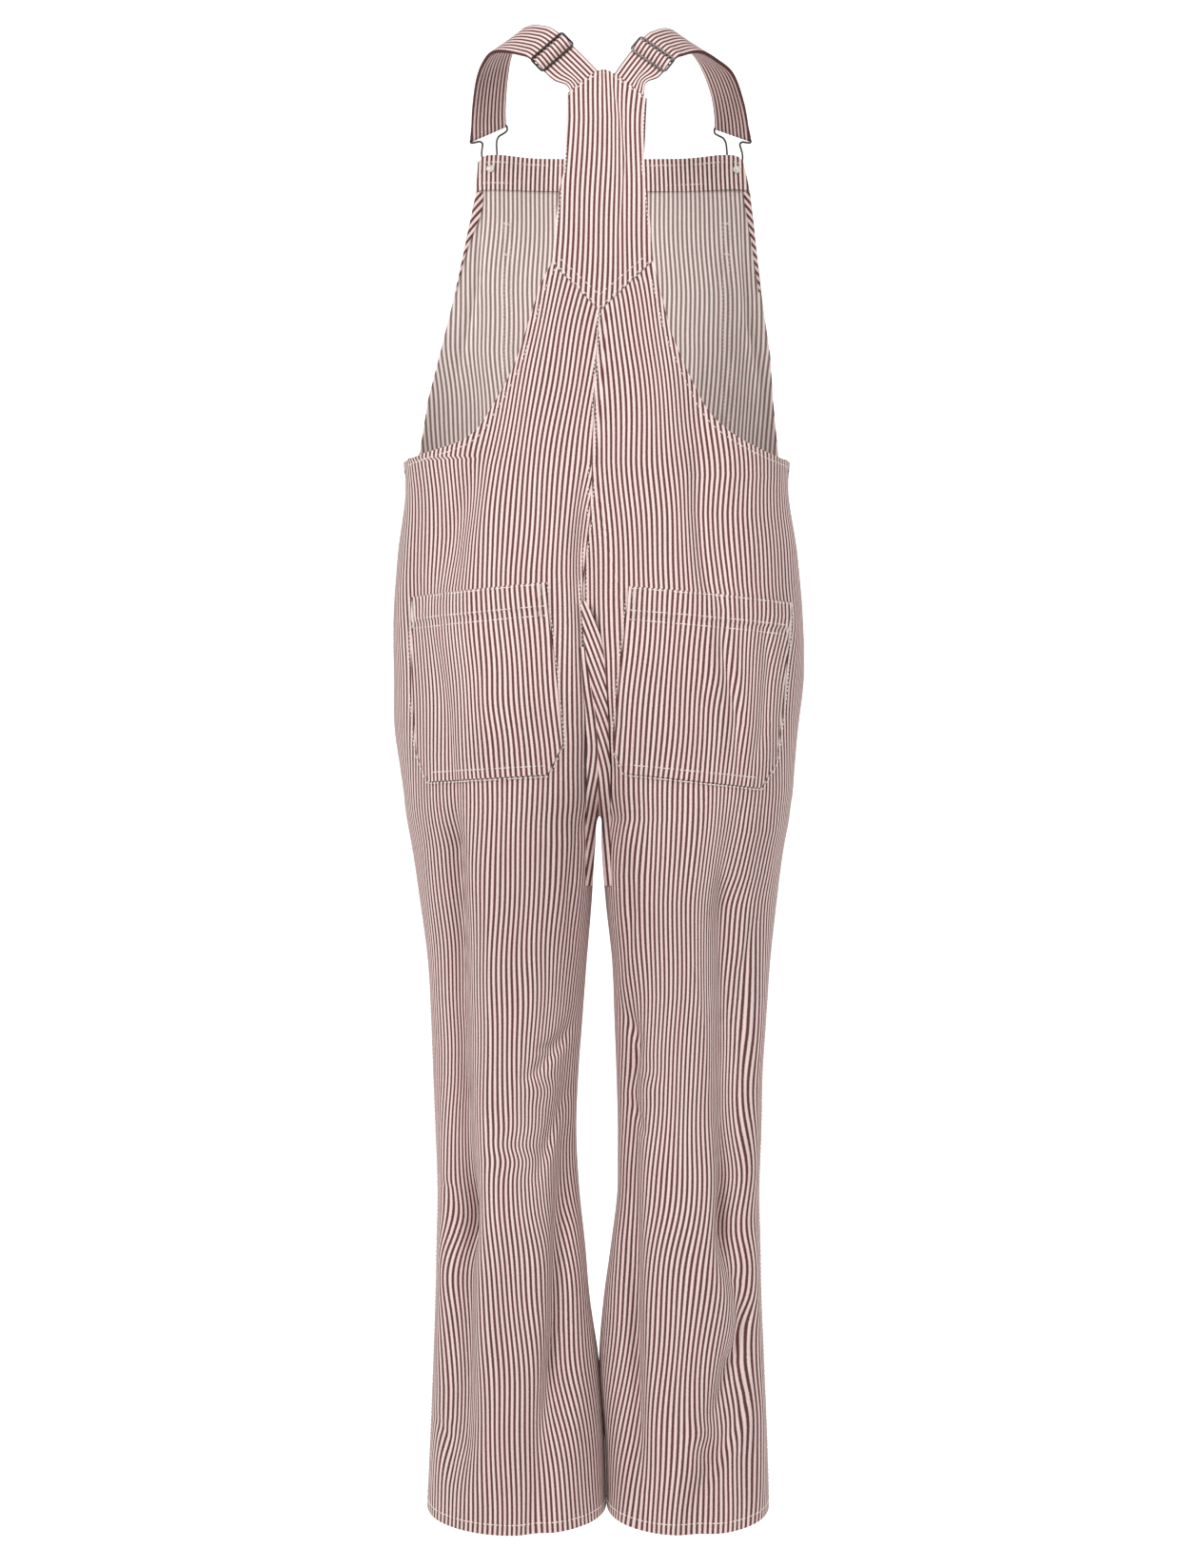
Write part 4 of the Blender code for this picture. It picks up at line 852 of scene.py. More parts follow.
def shell(name, points, cloth, thick, outward, looks=(RIGHT_SIDE, WRONG_SIDE), replaces=None,
          lift=0.0):
    """Closed shell of cloth under a grid of points (rows, columns, 3), lifted by `lift` first."""
    rows, columns = points.shape[:2]
    normals = outward_normals(points, outward)
    top = points + normals * lift
    under = top - normals * np.broadcast_to(thick, (rows, columns))[:, :, None]
    verts = np.concatenate([top.reshape(-1, 3), under.reshape(-1, 3)])
    uvs = np.concatenate([cloth.reshape(-1, 2)] * 2)
    a = (np.arange(rows - 1)[:, None] * columns + np.arange(columns - 1)).reshape(-1)
    quads = np.stack([a, a + 1, a + 1 + columns, a + columns], axis=1)
    if outward < 0:
        quads = quads[:, ::-1]
    below = quads[:, ::-1] + rows * columns
    edge = np.concatenate([
        np.arange(columns), columns * np.arange(1, rows) + columns - 1,
        rows * columns - 2 - np.arange(columns - 1), columns * np.arange(rows - 2, 0, -1),
    ])
    after = np.roll(edge, -1)
    rim = np.stack([after, edge, edge + rows * columns, after + rows * columns], axis=1)
    if outward < 0:
        rim = rim[:, ::-1]
    faces = np.concatenate([quads, below, rim])
    mesh = bpy.data.meshes.new(name)
    mesh.from_pydata(verts.tolist(), [], faces.tolist())
    layer = mesh.uv_layers.new(name="cloth")
    layer.uv.foreach_set("vector", uvs[faces.reshape(-1)].astype(np.float32).reshape(-1))
    for look in looks:
        mesh.materials.append(look)
    wrong_side = np.zeros(len(faces), np.int32)
    wrong_side[len(quads):2 * len(quads)] = 1
    mesh.polygons.foreach_set("material_index", wrong_side)
    mesh.shade_smooth()
    mesh.set_sharp_from_angle(angle=radians(55))
    piece = add_piece(name, mesh, replaces)
    GRIDS[name] = (top, normals)
    width, length = np.ptp(cloth[:, :, 0], axis=1).max(), np.ptp(cloth[:, :, 1])
    area = cut_area(cloth)
    PIECES[name] = (piece, (max(width, NARROWEST), length), area)
    print(f"{name}: {len(faces)} faces, cut {width:.3f} x {length:.3f} m, {area:.4f} m2")


# %% [markdown]
# ## Back legs
# Each back is one piece from the hem to the yoke. It could be cut out of a larger sheet, but then
# its edge would be jagged. So level rows run up to the side's top, and above it the rows tilt, from
# the centre seam up to the armhole's curved edge, and each edge is a smooth line of the grid.

# %% The armhole's edge and the hem's curve
ARMHOLE = table(
    "share left_x left_z right_x right_z",
    (0.00, -0.1815, -0.4120, 0.1790, -0.4130),
    (0.12, -0.1640, -0.4080, 0.1600, -0.4085),
    (0.28, -0.1230, -0.3950, 0.1264, -0.3935),
    (0.44, -0.0980, -0.3650, 0.1036, -0.3737),
    (0.60, -0.0780, -0.3280, 0.0842, -0.3410),
    (0.76, -0.0640, -0.2860, 0.0667, -0.3017),
    (0.90, -0.0533, -0.2540, 0.0580, -0.2700),
    (1.00, -0.0438, -0.2355, 0.0490, -0.2340),
)
ROW = 0.003  # metres between the rows of a back
DROOP_TOP = -1.25  # height at which the hem's curve begins


def armhole(side, share):
    """(x, z) on the armhole's edge, a share of the way from the side up to the yoke."""
    return [smooth_column(ARMHOLE, f"{SIDE_NAME[side]}_{part}", "share", share) for part in "xz"]


def hem_droop(z, u):
    """The hem hangs lower at the middle of the back and front than at the seams."""
    middle = np.sin(pi * np.clip(u, 0, 1))
    near_hem = np.clip((DROOP_TOP - z) / (DROOP_TOP - HEM_Z), 0, 1) ** 2
    return near_hem * (HEM_DIP * middle - HEM_RISE * (1 - middle))


def leg_rows(side, face, heights, u):
    """Nominal (x, z) of level rows of a leg, and how far each point droops."""
    spare = level_run(side, face, CROTCH_Z)[1][-1]
    x = np.array([level_x(side, face, z, u, spare) for z in heights])
    z = np.repeat(heights[:, None], len(u), axis=1)
    return x, z, hem_droop(z, u[None, :])


def panel_points(side, face, x, z, droop=0.0):
    points = skin(side, face, x, z)
    points[..., 2] -= droop
    cloth = np.stack([MAPS[side, face].across(x, z), z], axis=-1)
    return points, cloth


def hem_thickness(heights, columns):
    return np.where(heights <= HEM_Z + HEM_DEPTH, DOUBLE, CLOTH)[:, None] * np.ones(columns)


# %% Backs
def back_panel(side):
    name = "back_" + SIDE_NAME[side]
    u = np.linspace(0, 1, 96)
    heights = np.linspace(HEM_Z, SIDE_TOP_Z, int((SIDE_TOP_Z - HEM_Z) / ROW) + 1)
    x, z, droop = leg_rows(side, BACK, heights, u)
    spread = (x[-1] - x[-1, 0]) / (x[-1, -1] - x[-1, 0])
    share = np.linspace(0, 1, 56)[1:, None]
    inner_z = SIDE_TOP_Z + share * (YOKE_TIP[1] - SEAM - SIDE_TOP_Z)
    inner_x = column(CENTRE_BACK, "x", "z", inner_z) + side * SEAM / 2
    outer_x, outer_z = armhole(side, share)
    outer_z = outer_z - SEAM * share
    x = np.concatenate([x, inner_x + spread * (outer_x - inner_x)])
    z = np.concatenate([z, inner_z + spread * (outer_z - inner_z)])
    droop = np.concatenate([droop, np.zeros((len(share), len(u)))])
    points, cloth = panel_points(side, BACK, x, z, droop)
    shell(name + "_cloth", points, cloth, hem_thickness(z[:, 0], len(u)), side, replaces=name)


for side in (LEFT, RIGHT):
    back_panel(side)

# %% [markdown]
# ## Seat fold
# Below the centre seam the two backs meet in a soft fold: cloth from the right laps across the
# seat in a wedge, with its stripes slanting, and runs in under the crotch. One skin can't lie on
# itself, so each side of the fold is a narrow flap of its own along the seam.

# %% Seat fold
SEAT = table(
    "z left seam right seam_y left_shift right_shift",
    (-0.8100, -0.0125, -0.0010, 0.0110, -0.032, 0.0120, -0.006),
    (-0.7750, -0.0125, -0.0010, 0.0104, -0.038, 0.0060, -0.003),
    (-0.7430, -0.0125, -0.0010, 0.0097, -0.046, 0.0000, 0.000),
    (-0.7250, -0.0120, -0.0012, 0.0098, -0.070, -0.0030, 0.002),
    (-0.7000, -0.0118, -0.0014, 0.0100, -0.087, -0.0075, 0.005),
    (-0.6840, -0.0120, -0.0014, 0.0090, -0.094, -0.0090, 0.009),
    (-0.6560, -0.0125, -0.0034, 0.0078, -0.102, -0.0065, 0.018),
    (-0.6250, -0.0150, -0.0080, 0.0060, -0.109, -0.0020, 0.030),
    (-0.5850, -0.0180, -0.0140, 0.0018, -0.113, 0.0020, 0.045),
    (-0.5600, -0.0190, -0.0163, -0.0060, -0.113, 0.0030, 0.055),
    (-0.5480, -0.0195, -0.0171, -0.0130, -0.112, 0.0040, 0.060),
)
SEAT_TOP = {LEFT: -0.5900, RIGHT: -0.5480}
FLAP_LIFT, FLAP_CROWN = 0.0007, 0.0012  # how far a flap's edge and its middle stand off the panel


def seat_fold(side):
    """One side of the fold, from the seam line out to its edge on the panel."""
    word = SIDE_NAME[side]
    z = np.linspace(SEAT[0].z, SEAT_TOP[side], 80)[:, None] * np.ones(14)
    u = np.linspace(0, 1, 14)[None, :]
    seam, seam_y, edge, shift = (
        smooth_column(SEAT, key, "z", z) for key in ("seam", "seam_y", word, word + "_shift")
    )
    inner = smooth_column(SECTIONS, word + "_in", "z", z) + side * 0.0002
    seam = np.where(z < CROTCH_Z, side * np.maximum(side * seam, side * inner), seam)
    edge_y = skin(side, BACK, edge, z)[..., 1] - FLAP_LIFT
    x = seam + u * (edge - seam)
    y = seam_y + (edge_y - seam_y) * u**0.8 - FLAP_CROWN * np.sin(pi * u)
    points = np.stack([x, np.minimum(y, seam_y), z], axis=-1)
    shell(f"seat_fold_{word}", points, np.stack([x + shift, z], axis=-1), CLOTH * 0.5, side,
          looks=(RIGHT_SIDE, RIGHT_SIDE))


for side in (RIGHT, LEFT):
    seat_fold(side)

# %% [markdown]
# ## Front legs and waistband
# The fronts show only past the sides, but they are cut and folded like the backs, because a shape
# is seen from all sides. The waistband joins them to the bib. It is one strip across both halves.

# %% Fronts
FRONT_ROW = 0.004  # metres between the rows of a front


def front_panel(side):
    name = "front_" + SIDE_NAME[side]
    u = np.linspace(0, 1, 80)
    top = BAND_FOOT_Z - SEAM
    heights = np.linspace(HEM_Z, top, int((top - HEM_Z) / FRONT_ROW) + 1)
    x, z, droop = leg_rows(side, FRONT, heights, u)
    points, cloth = panel_points(side, FRONT, x, z, droop)
    shell(name + "_cloth", points, cloth, hem_thickness(heights, len(u)), -side, replaces=name)


for side in (LEFT, RIGHT):
    front_panel(side)

# %% Waistband
WAIST_DROP = 0.010  # how far the band's top drops at the side seams
WAIST_LIFT = 0.0006  # how far it stands proud of the front legs


def waistband():
    heights = np.linspace(BAND_FOOT_Z, WAIST_Z - SEAM, 10)
    u = np.linspace(0, 1, 60)
    points, cloth = [], []
    for z in heights:
        halves = {}
        rise = (z - BAND_FOOT_Z) / (WAIST_Z - BAND_FOOT_Z)
        for side in (LEFT, RIGHT):
            x = level_x(side, FRONT, z, u, 0.0)
            halves[side] = (skin(side, FRONT, x, z), MAPS[side, FRONT].across(x, z))
            halves[side][0][:, 2] -= WAIST_DROP * rise * np.clip((u - 0.80) / 0.20, 0, 1)
        points.append(np.concatenate([halves[LEFT][0][::-1], halves[RIGHT][0][1:]]))
        left, right = halves[LEFT][1][::-1], halves[RIGHT][1][1:]
        across = np.concatenate([left - left[-1], right - halves[RIGHT][1][0]])
        cloth.append(np.stack([across, np.full(len(across), z)], axis=1))
    shell("front_waistband_cloth", np.array(points), np.array(cloth), DOUBLE, -1,
          replaces="front_waistband", lift=WAIST_LIFT)


waistband()

# %% [markdown]
# ## Yoke
# The yoke is a doubled piece with a pointed foot and an arched top, from which the straps come. A
# flat cut-out would look pasted on, so its grid lies on the back's skin, one cloth's thickness out.

# %% The yoke's outline
YOKE_SIDES = table(
    "z left right",
    (-0.2350, -0.0438, 0.0490), (-0.1700, -0.0370, 0.0442),
    (-0.1500, -0.0324, 0.0406), (-0.0780, -0.0302, 0.0440),
)
YOKE_TOP = table(
    "share z",
    (0.00, -0.0770), (0.20, -0.0660), (0.40, -0.0570), (0.55, -0.0530),
    (0.75, -0.0630), (1.00, -0.0815),
)


def yoke_place(u, v):
    """Nominal (x, z) on the yoke: u from -1 at the left edge to 1, v from its foot to its top."""
    top = smooth_column(YOKE_TOP, "z", "share", (u + 1) / 2)
    corner = np.where(u < 0, YOKE_SIDES[0].z - 0.0005, YOKE_SIDES[0].z + 0.0010)
    foot = YOKE_TIP[1] + np.abs(u) * (corner - YOKE_TIP[1])
    z = foot + v * (top - foot)
    left, right = column(YOKE_SIDES, "left", "z", z), column(YOKE_SIDES, "right", "z", z)
    return np.where(u < 0, -u * left, u * right), z


print("yoke:", len(YOKE_SIDES), "widths,", len(YOKE_TOP), "points along its top")


# %% The yoke's crease and stripes
YOKE_PRESS, YOKE_PRESS_WIDTH = 0.0016, 0.0028
YOKE_CREASE = ((0.008, -0.056), (0.018, -0.094), (0.024, -0.139), (0.020, -0.183), (0.016, -0.215))


def yoke_skin(x, z):
    """The back's skin, with one soft crease down the yoke."""
    off, share = off_path(YOKE_CREASE, x, z)
    press = YOKE_PRESS * np.sin(pi * share) ** 0.7 * np.exp(-((off / YOKE_PRESS_WIDTH) ** 2))
    return skin(RIGHT, BACK, x, z) + press[..., None] * (0, 1, 0)


def yoke_cloth(x, z):
    """The yoke's stripes lean with its left edge, close up at the crease and fan out at the top."""
    rise = np.clip((z + 0.27) / 0.17, 0, 1)
    crease = 0.018 + 0.03 * np.clip(-0.10 - z, 0, 0.1) - 0.2 * np.clip(z + 0.10, 0, 0.05)
    across = (x - 0.004) * (1 - 0.03 + 0.08 * rise) + 0.006 * rise * (step_up((x - crease) / 0.010) - 1)
    across *= 1 - 0.16 * np.clip((z + 0.115) / 0.06, 0, 1) ** 2 * (x > 0.004)
    return np.stack([across + 0.0004 * np.sin(60 * z + 50 * x), z], axis=-1)


# %% Yoke
yoke_u, yoke_v = np.meshgrid(np.linspace(-1, 1, 61), np.linspace(0, 1, 90))
yoke_x, yoke_z = yoke_place(yoke_u, yoke_v)
shell("back_yoke_cloth", yoke_skin(yoke_x, yoke_z), yoke_cloth(yoke_x, yoke_z), DOUBLE, 1,
      looks=(RIGHT_SIDE, RIGHT_SIDE), replaces="back_yoke", lift=CLOTH)

# %% [markdown]
# ## Bib
# The bib is a single layer, so from behind it shows its wrong side. Its turned facing shows the
# right side again along the top, and a patch pocket lies on its front. The real facing is the bib
# folded over. A strip of its own with a small gap casts the same line of shadow and is simpler.

# %% Measures of the bib
BIB_SIDES = table(
    "z left right",
    (-0.4020, -0.1740, 0.1720), (-0.3420, -0.1662, 0.1680),
    (-0.2980, -0.1560, 0.1660), (-0.2435, -0.1432, 0.1590),
    (-0.1990, -0.1340, 0.1544), (-0.1366, -0.1210, 0.1475),
    (-0.1028, -0.1190, 0.1410),
)
BIB_TOP_Z, BIB_TOP_Y, BIB_TOP_BOW, BIB_PULL = -0.1028, 0.1150, 0.42, 0.0032
BIB_BELLY = 0.006  # how far the bib's middle stands out from a straight run to its top
FACING_DEPTH = 0.0320
BIB_POCKET_X, BIB_POCKET_Z = (-0.0950, 0.1290), (-0.3650, -0.1650)
BIB_CREASES = table(
    CREASE,
    # beside the right edge, beside the left edge, and two soft ones that fan out below
    (0.0032, 0.0034, 0.0034, (
        (0.1387, -0.1300), (0.1390, -0.2087), (0.1424, -0.2599), (0.1560, -0.3204), (0.1600, -0.3900),
    )),
    (0.0026, 0.0036, 0.0036, (
        (-0.1120, -0.1300), (-0.1163, -0.1808), (-0.1185, -0.2273), (-0.1256, -0.2599), (-0.1420, -0.3300),
    )),
    (0.0020, 0.0060, 0.0060, ((-0.0600, -0.2200), (-0.0660, -0.3000), (-0.0830, -0.3900))),
    (0.0020, 0.0060, 0.0060, ((0.0880, -0.2200), (0.0950, -0.3000), (0.1000, -0.3900))),
)
print("bib:", len(BIB_SIDES), "widths,", len(BIB_CREASES), "creases")


# %% The bib's skin
def bib_skin(x, z):
    """The bib runs from the waist seam's oval to a nearly straight top."""
    x, z = np.broadcast_arrays(x, z)
    low = np.where(x < 0, skin(LEFT, FRONT, x, WAIST_Z)[..., 1], skin(RIGHT, FRONT, x, WAIST_Z)[..., 1])
    high = BIB_TOP_Y - BIB_TOP_BOW * (x - 0.011) ** 2
    rise = np.clip((z - WAIST_Z) / (BIB_TOP_Z - WAIST_Z), 0, 1)
    blend = 1 - (1 - rise) ** 1.8
    y = low * (1 - blend) + high * blend + BIB_BELLY * np.sin(pi * rise)
    for crease in BIB_CREASES:
        off, share = off_path(crease.path, x, z)
        y = y + crease.depth * np.sin(pi * share) ** 0.6 * np.exp(-((off / crease.left_width) ** 2))
    return np.stack([x, y, z], axis=-1)


def bib_place(u, v):
    """Nominal (x, z) on the bib, its top pulled up where the clips hang and its corners rounded."""
    z = WAIST_Z + v * (BIB_TOP_Z - WAIST_Z)
    left, right = column(BIB_SIDES, "left", "z", z), column(BIB_SIDES, "right", "z", z)
    pulled = BIB_PULL * np.exp(-(((np.abs(u) - 0.85) / 0.18) ** 2))
    corner = 0.006 * np.clip((np.abs(u) - 0.93) / 0.07, 0, 1) ** 2
    return left + (u + 1) / 2 * (right - left), z + (pulled - corner) * np.clip((v - 0.85) / 0.15, 0, 1)


# %% The bib's stripes
BIB_SPREAD = table(
    "z scale",
    (-0.402, 1.09), (-0.340, 1.06), (-0.290, 1.02), (-0.235, 1.02),
    (-0.160, 1.065), (-0.100, 1.08),
)


def bib_cloth(x, z):
    """The bib's stripes stand closer at its top, at its foot and in its creases."""
    across = x * smooth_column(BIB_SPREAD, "scale", "z", z) + 0.0005 * np.sin(70 * z + 25 * x)
    right = step_up((x - 0.142) / 0.010) * 0.004 * np.clip((-0.15 - z) / 0.08, 0, 1)
    left = (step_up((x + 0.118) / 0.010) - 1) * 0.003 * np.clip((-0.15 - z) / 0.08, 0, 1)
    return np.stack([across + right + left, z], axis=-1)


# %% Bib, facing and bib pocket
def bib_piece(name, u, v, thick, lift, looks, node, flare=0.0):
    """A piece on the bib; its foot may stand off the bib, towards the wearer."""
    u, v = np.meshgrid(u, v)
    x, z = bib_place(u, v)
    points = bib_skin(x, z)
    points[..., 1] -= flare * ((v.max() - v) / np.ptp(v)) ** 2 * (1 + 0.5 * np.sin(9 * u))
    shell(name, points, bib_cloth(x, z), thick, -1, looks, node, lift)


facing_foot = (WAIST_Z - BIB_TOP_Z + FACING_DEPTH) / (WAIST_Z - BIB_TOP_Z)
bib_piece("bib_cloth", np.linspace(-1, 1, 110), np.linspace(0, 1, 90), CLOTH, 0.0,
          (RIGHT_SIDE, WRONG_SIDE), "bib")
bib_piece("bib_facing_cloth", np.linspace(-1, 1, 110), np.linspace(facing_foot, 0.999, 12), CLOTH,
          -CLOTH - SEAM, (WRONG_SIDE, PAINTED_LIGHT_FACING_SIDE), "bib_facing", flare=0.0011)
pocket_x, pocket_z = np.meshgrid(np.linspace(*BIB_POCKET_X, 60), np.linspace(*BIB_POCKET_Z, 50))
shell("bib_pocket_cloth", bib_skin(pocket_x, pocket_z), bib_cloth(pocket_x, pocket_z), CLOTH, -1,
      replaces="bib_pocket", lift=LAP + CLOTH)

# %% Turned side edges of the bib
BIB_HEMS = table(
    "z left right",
    (-0.2700, 0.0010, 0.0012), (-0.2180, 0.0012, 0.0026), (-0.2010, 0.0020, 0.0034),
    (-0.1815, 0.0046, 0.0042), (-0.1610, 0.0080, 0.0054), (-0.1300, 0.0066, 0.0062),
)
BIAS = radians(38)


def bib_hem(side):
    """A slanting edge turned in: its stripes stand askew, and it shows the right side."""
    z = np.linspace(-0.235, -0.1365, 40)[:, None] * np.ones(6)
    wide = smooth_column(BIB_HEMS, SIDE_NAME[side], "z", z)
    edge = column(BIB_SIDES, SIDE_NAME[side], "z", z) - side * 0.0002
    x = edge - side * wide * np.linspace(1, 0, 6)[::side]
    cloth = np.stack([x * cos(BIAS) + side * z * sin(BIAS), z / cos(BIAS)], axis=-1)
    shell(f"bib_hem_{SIDE_NAME[side]}", bib_skin(x, z), cloth, CLOTH, -1, (WRONG_SIDE, RIGHT_SIDE),
          lift=-CLOTH - SEAM)


for side in (LEFT, RIGHT):
    bib_hem(side)

# %% [markdown]
# ## Back pockets
# A patch pocket with clipped lower corners and a turned band along its mouth. It is cut with its
# stripes along its own inner edge, so they lean against the panel's. Its points are the panel's own,
# moved out by a cloth's thickness, so the pocket takes up every fold that runs beneath it.

# %% Back pockets
POCKET_EDGES = table(
    "side share inner outer",
    (LEFT, 0.00, -0.0496, -0.1720), (LEFT, 0.50, -0.0395, -0.1720),
    (LEFT, 0.84, -0.0342, -0.1670), (LEFT, 1.00, -0.0480, -0.1560),
    (RIGHT, 0.00, 0.0270, 0.1757), (RIGHT, 0.50, 0.0180, 0.1690),
    (RIGHT, 0.86, 0.0139, 0.1610), (RIGHT, 1.00, 0.0244, 0.1470),
)
POCKET_TOP_Z = {LEFT: (-0.5313, -0.5425), RIGHT: (-0.5350, -0.5470)}
POCKET_FOOT_Z = {LEFT: (-0.7060, -0.7125), RIGHT: (-0.7045, -0.7185)}
POCKET_BAND = 0.024
POCKET_LEAN = {LEFT: 0.080, RIGHT: -0.078}  # how far the stripes lean, in metres across a metre up


def pocket_place(side, u, v):
    """Nominal (x, z) on a pocket: u from its inner edge out, v from its mouth down."""
    rows = [row for row in POCKET_EDGES if row.side == side]
    inner, outer = column(rows, "inner", "share", v), column(rows, "outer", "share", v)
    (top_in, top_out), (foot_in, foot_out) = POCKET_TOP_Z[side], POCKET_FOOT_Z[side]
    top, foot = top_in + u * (top_out - top_in), foot_in + u * (foot_out - foot_in)
    return inner + u * (outer - inner), top + v * (foot - top)


def pocket_height(side):
    return POCKET_TOP_Z[side][0] - POCKET_FOOT_Z[side][0]


def back_pocket(side):
    name = "back_pocket_" + SIDE_NAME[side]
    u, v = np.meshgrid(np.linspace(0, 1, 90), np.linspace(0, 1, 100))
    x, z = pocket_place(side, u, v)
    across = MAPS[side, BACK].across(x, z) + smooth_column(GRAIN, SIDE_NAME[side], "z", z)
    cloth = np.stack([across + POCKET_LEAN[side] * (z - z[0, 0]), z], axis=-1)
    thick = np.where(v < POCKET_BAND / pocket_height(side), DOUBLE, CLOTH)
    points = skin(side, BACK, x, z)
    normals = outward_normals(points, -side)
    shell(name + "_cloth", points + normals * (LAP + thick)[..., None], cloth, thick, -side, replaces=name)


for side in (LEFT, RIGHT):
    back_pocket(side)

# %% [markdown]
# ## Straps
# One strip of doubled cloth: from under the yoke through the slider, over the shoulder, round the
# clip's bar and back to the slider. An Array along a curve would twist where the strap folds back,
# so the strap's line is worked out once, and every point is placed along, across and off that line.

# %% Measures and stations of the straps
STRAP_WIDTH, STRAP_CLOTH, WIRE = 0.0358, 0.0015, 0.0020
SLIDER_LENGTH, SLIDER_RAISE, TUCK, STRAP_SKEW = 0.0190, 0.0008, 0.009, 0.34
SLIDER_AT = {LEFT: 0.0550, RIGHT: 0.0490}
STRAP_PITCH = 0.0040  # the strap's stripes stand a little closer
STRAP_PINCH = {LEFT: 0.0052, RIGHT: 0.0066}  # how far the armhole edge is drawn in by the yoke
PINCH_AT, PINCH_LONG = 0.020, 0.0085  # where along the strap, and over what length
SLIDER_HUMP = 0.0022  # how far the strap bulges where it passes over the slider's bar

STATION = "x y z across_x across_y across_z"
STRAPS = {
    LEFT: table(
        STATION,
        (-0.0134, -0.0660, -0.0667, 0.80, 0.00, 0.60),
        (-0.0385, -0.0570, -0.0405, 0.74, 0.00, 0.67),
        (-0.0511, -0.0475, -0.0268, 0.74, 0.00, 0.67),
        (-0.0658, -0.0310, -0.0182, 0.75, 0.00, 0.66),
        (-0.0826, -0.0080, -0.0132, 0.79, 0.05, 0.61),
        (-0.0957, 0.0350, -0.0165, 0.84, 0.15, 0.54),
        (-0.1032, 0.0700, -0.0285, 0.88, 0.30, 0.48),
        (-0.1071, 0.0920, -0.0501, 0.90, 0.40, 0.37),
        (-0.1088, 0.1050, -0.0780, 0.91, 0.36, 0.34),
    ),
    RIGHT: table(
        STATION,
        (0.0276, -0.0660, -0.0675, -0.74, 0.00, 0.68),
        (0.0446, -0.0570, -0.0433, -0.86, 0.00, 0.51),
        (0.0544, -0.0475, -0.0300, -0.86, 0.00, 0.51),
        (0.0648, -0.0300, -0.0209, -0.82, 0.00, 0.57),
        (0.0786, -0.0060, -0.0134, -0.81, 0.05, 0.58),
        (0.0975, 0.0350, -0.0160, -0.86, 0.15, 0.50),
        (0.1142, 0.0680, -0.0270, -0.90, 0.38, 0.38),
        (0.1246, 0.0910, -0.0490, -0.86, 0.50, 0.34),
        (0.1303, 0.1050, -0.0790, -0.88, 0.42, 0.33),
    ),
}


print("strap stations:", {SIDE_NAME[side]: len(rows) for side, rows in STRAPS.items()})


# %% Smooth paths
def rounded(steps, knots, fine):
    """Catmull-Rom curve through the knots, column by column."""
    slopes = np.gradient(knots, steps, axis=0)
    i = np.clip(np.searchsorted(steps, fine) - 1, 0, len(steps) - 2)
    gap = (steps[i + 1] - steps[i])[:, None]
    t = (fine - steps[i])[:, None] / gap
    start, end = knots[i], knots[i + 1]
    return (
        (2 * t**3 - 3 * t**2 + 1) * start + (t**3 - 2 * t**2 + t) * gap * slopes[i]
        + (3 * t**2 - 2 * t**3) * end + (t**3 - t**2) * gap * slopes[i + 1]
    )


def read_path(at, gone, path):
    """Points of a path at the distances `at` along it."""
    return np.stack([np.interp(at, gone, path[:, k]) for k in range(3)], axis=-1)


# %% The line of a strap
class Strap:
    """The line of one strap: points at a distance s along it and a height h off it."""

    def __init__(self, side):
        stations = STRAPS[side]
        knots = np.array([(st.x, st.y, st.z) for st in stations])
        across = np.array([(st.across_x, st.across_y, st.across_z) for st in stations])
        step = (knots[0] - knots[1]) * (1, 0, 1)
        knots = np.vstack([knots[0] + step * TUCK / np.linalg.norm(step), knots])
        across = np.vstack([across[0], across])
        for knot, way in zip(knots[:2], across[:2]):
            here, there = (skin(side, BACK, knot[0] + s * way[0], knot[2] + s * way[2]) for s in (0, 0.01))
            way[:] = (there - here) / 0.01
            knot[1] = here[1] + CLOTH + 3 * SEAM + STRAP_CLOTH / 2
        steps = steps_along(knots)
        fine = np.linspace(0, steps[-1], 400)
        self.middle = rounded(steps, knots, fine)
        self.across = rounded(steps, across, fine)
        self.s = steps_along(self.middle)
        self.length = self.s[-1]
        travel = np.gradient(self.middle, self.s, axis=0)
        self.travel = travel / np.linalg.norm(travel, axis=1)[:, None]
        self.across -= np.sum(self.across * self.travel, axis=1)[:, None] * self.travel
        self.across /= np.linalg.norm(self.across, axis=1)[:, None]
        self.up = -side * np.cross(self.across, self.travel)

    def points(self, s, h, off):
        """Points of the strip. At its clip it is pulled askew, so its end there runs aslant."""
        ease = np.clip((s - self.length + 0.055) / 0.045, 0, 1)
        s = s - STRAP_SKEW * off * ease * ease * (3 - 2 * ease)
        inside = np.clip(s, 0, self.length)
        middle, travel, across, up = self.frame(inside)
        return middle + (s - inside)[..., None] * travel + h[..., None] * up + off[..., None] * across

    def frame(self, s):
        """(middle, travel, across, up) at distances s along the strap."""
        paths = (self.middle, self.travel, self.across, self.up)
        return [read_path(s, self.s, path) for path in paths]

    def flat_points(self, s, along, off, lift):
        """Points of a stiff, flat thing that lies on the strap at s."""
        middle, travel, across, up = self.frame(s)
        return middle + np.outer(along, travel) + np.outer(off, across) + lift * up

    def bar(self):
        """(middle, direction towards the neck, direction down) of the clip's bar."""
        middle, travel, across, _ = self.frame(self.length)
        along = across - STRAP_SKEW * travel
        along /= np.linalg.norm(along)
        down = travel - (travel @ along) * along
        return middle, along, down / np.linalg.norm(down)


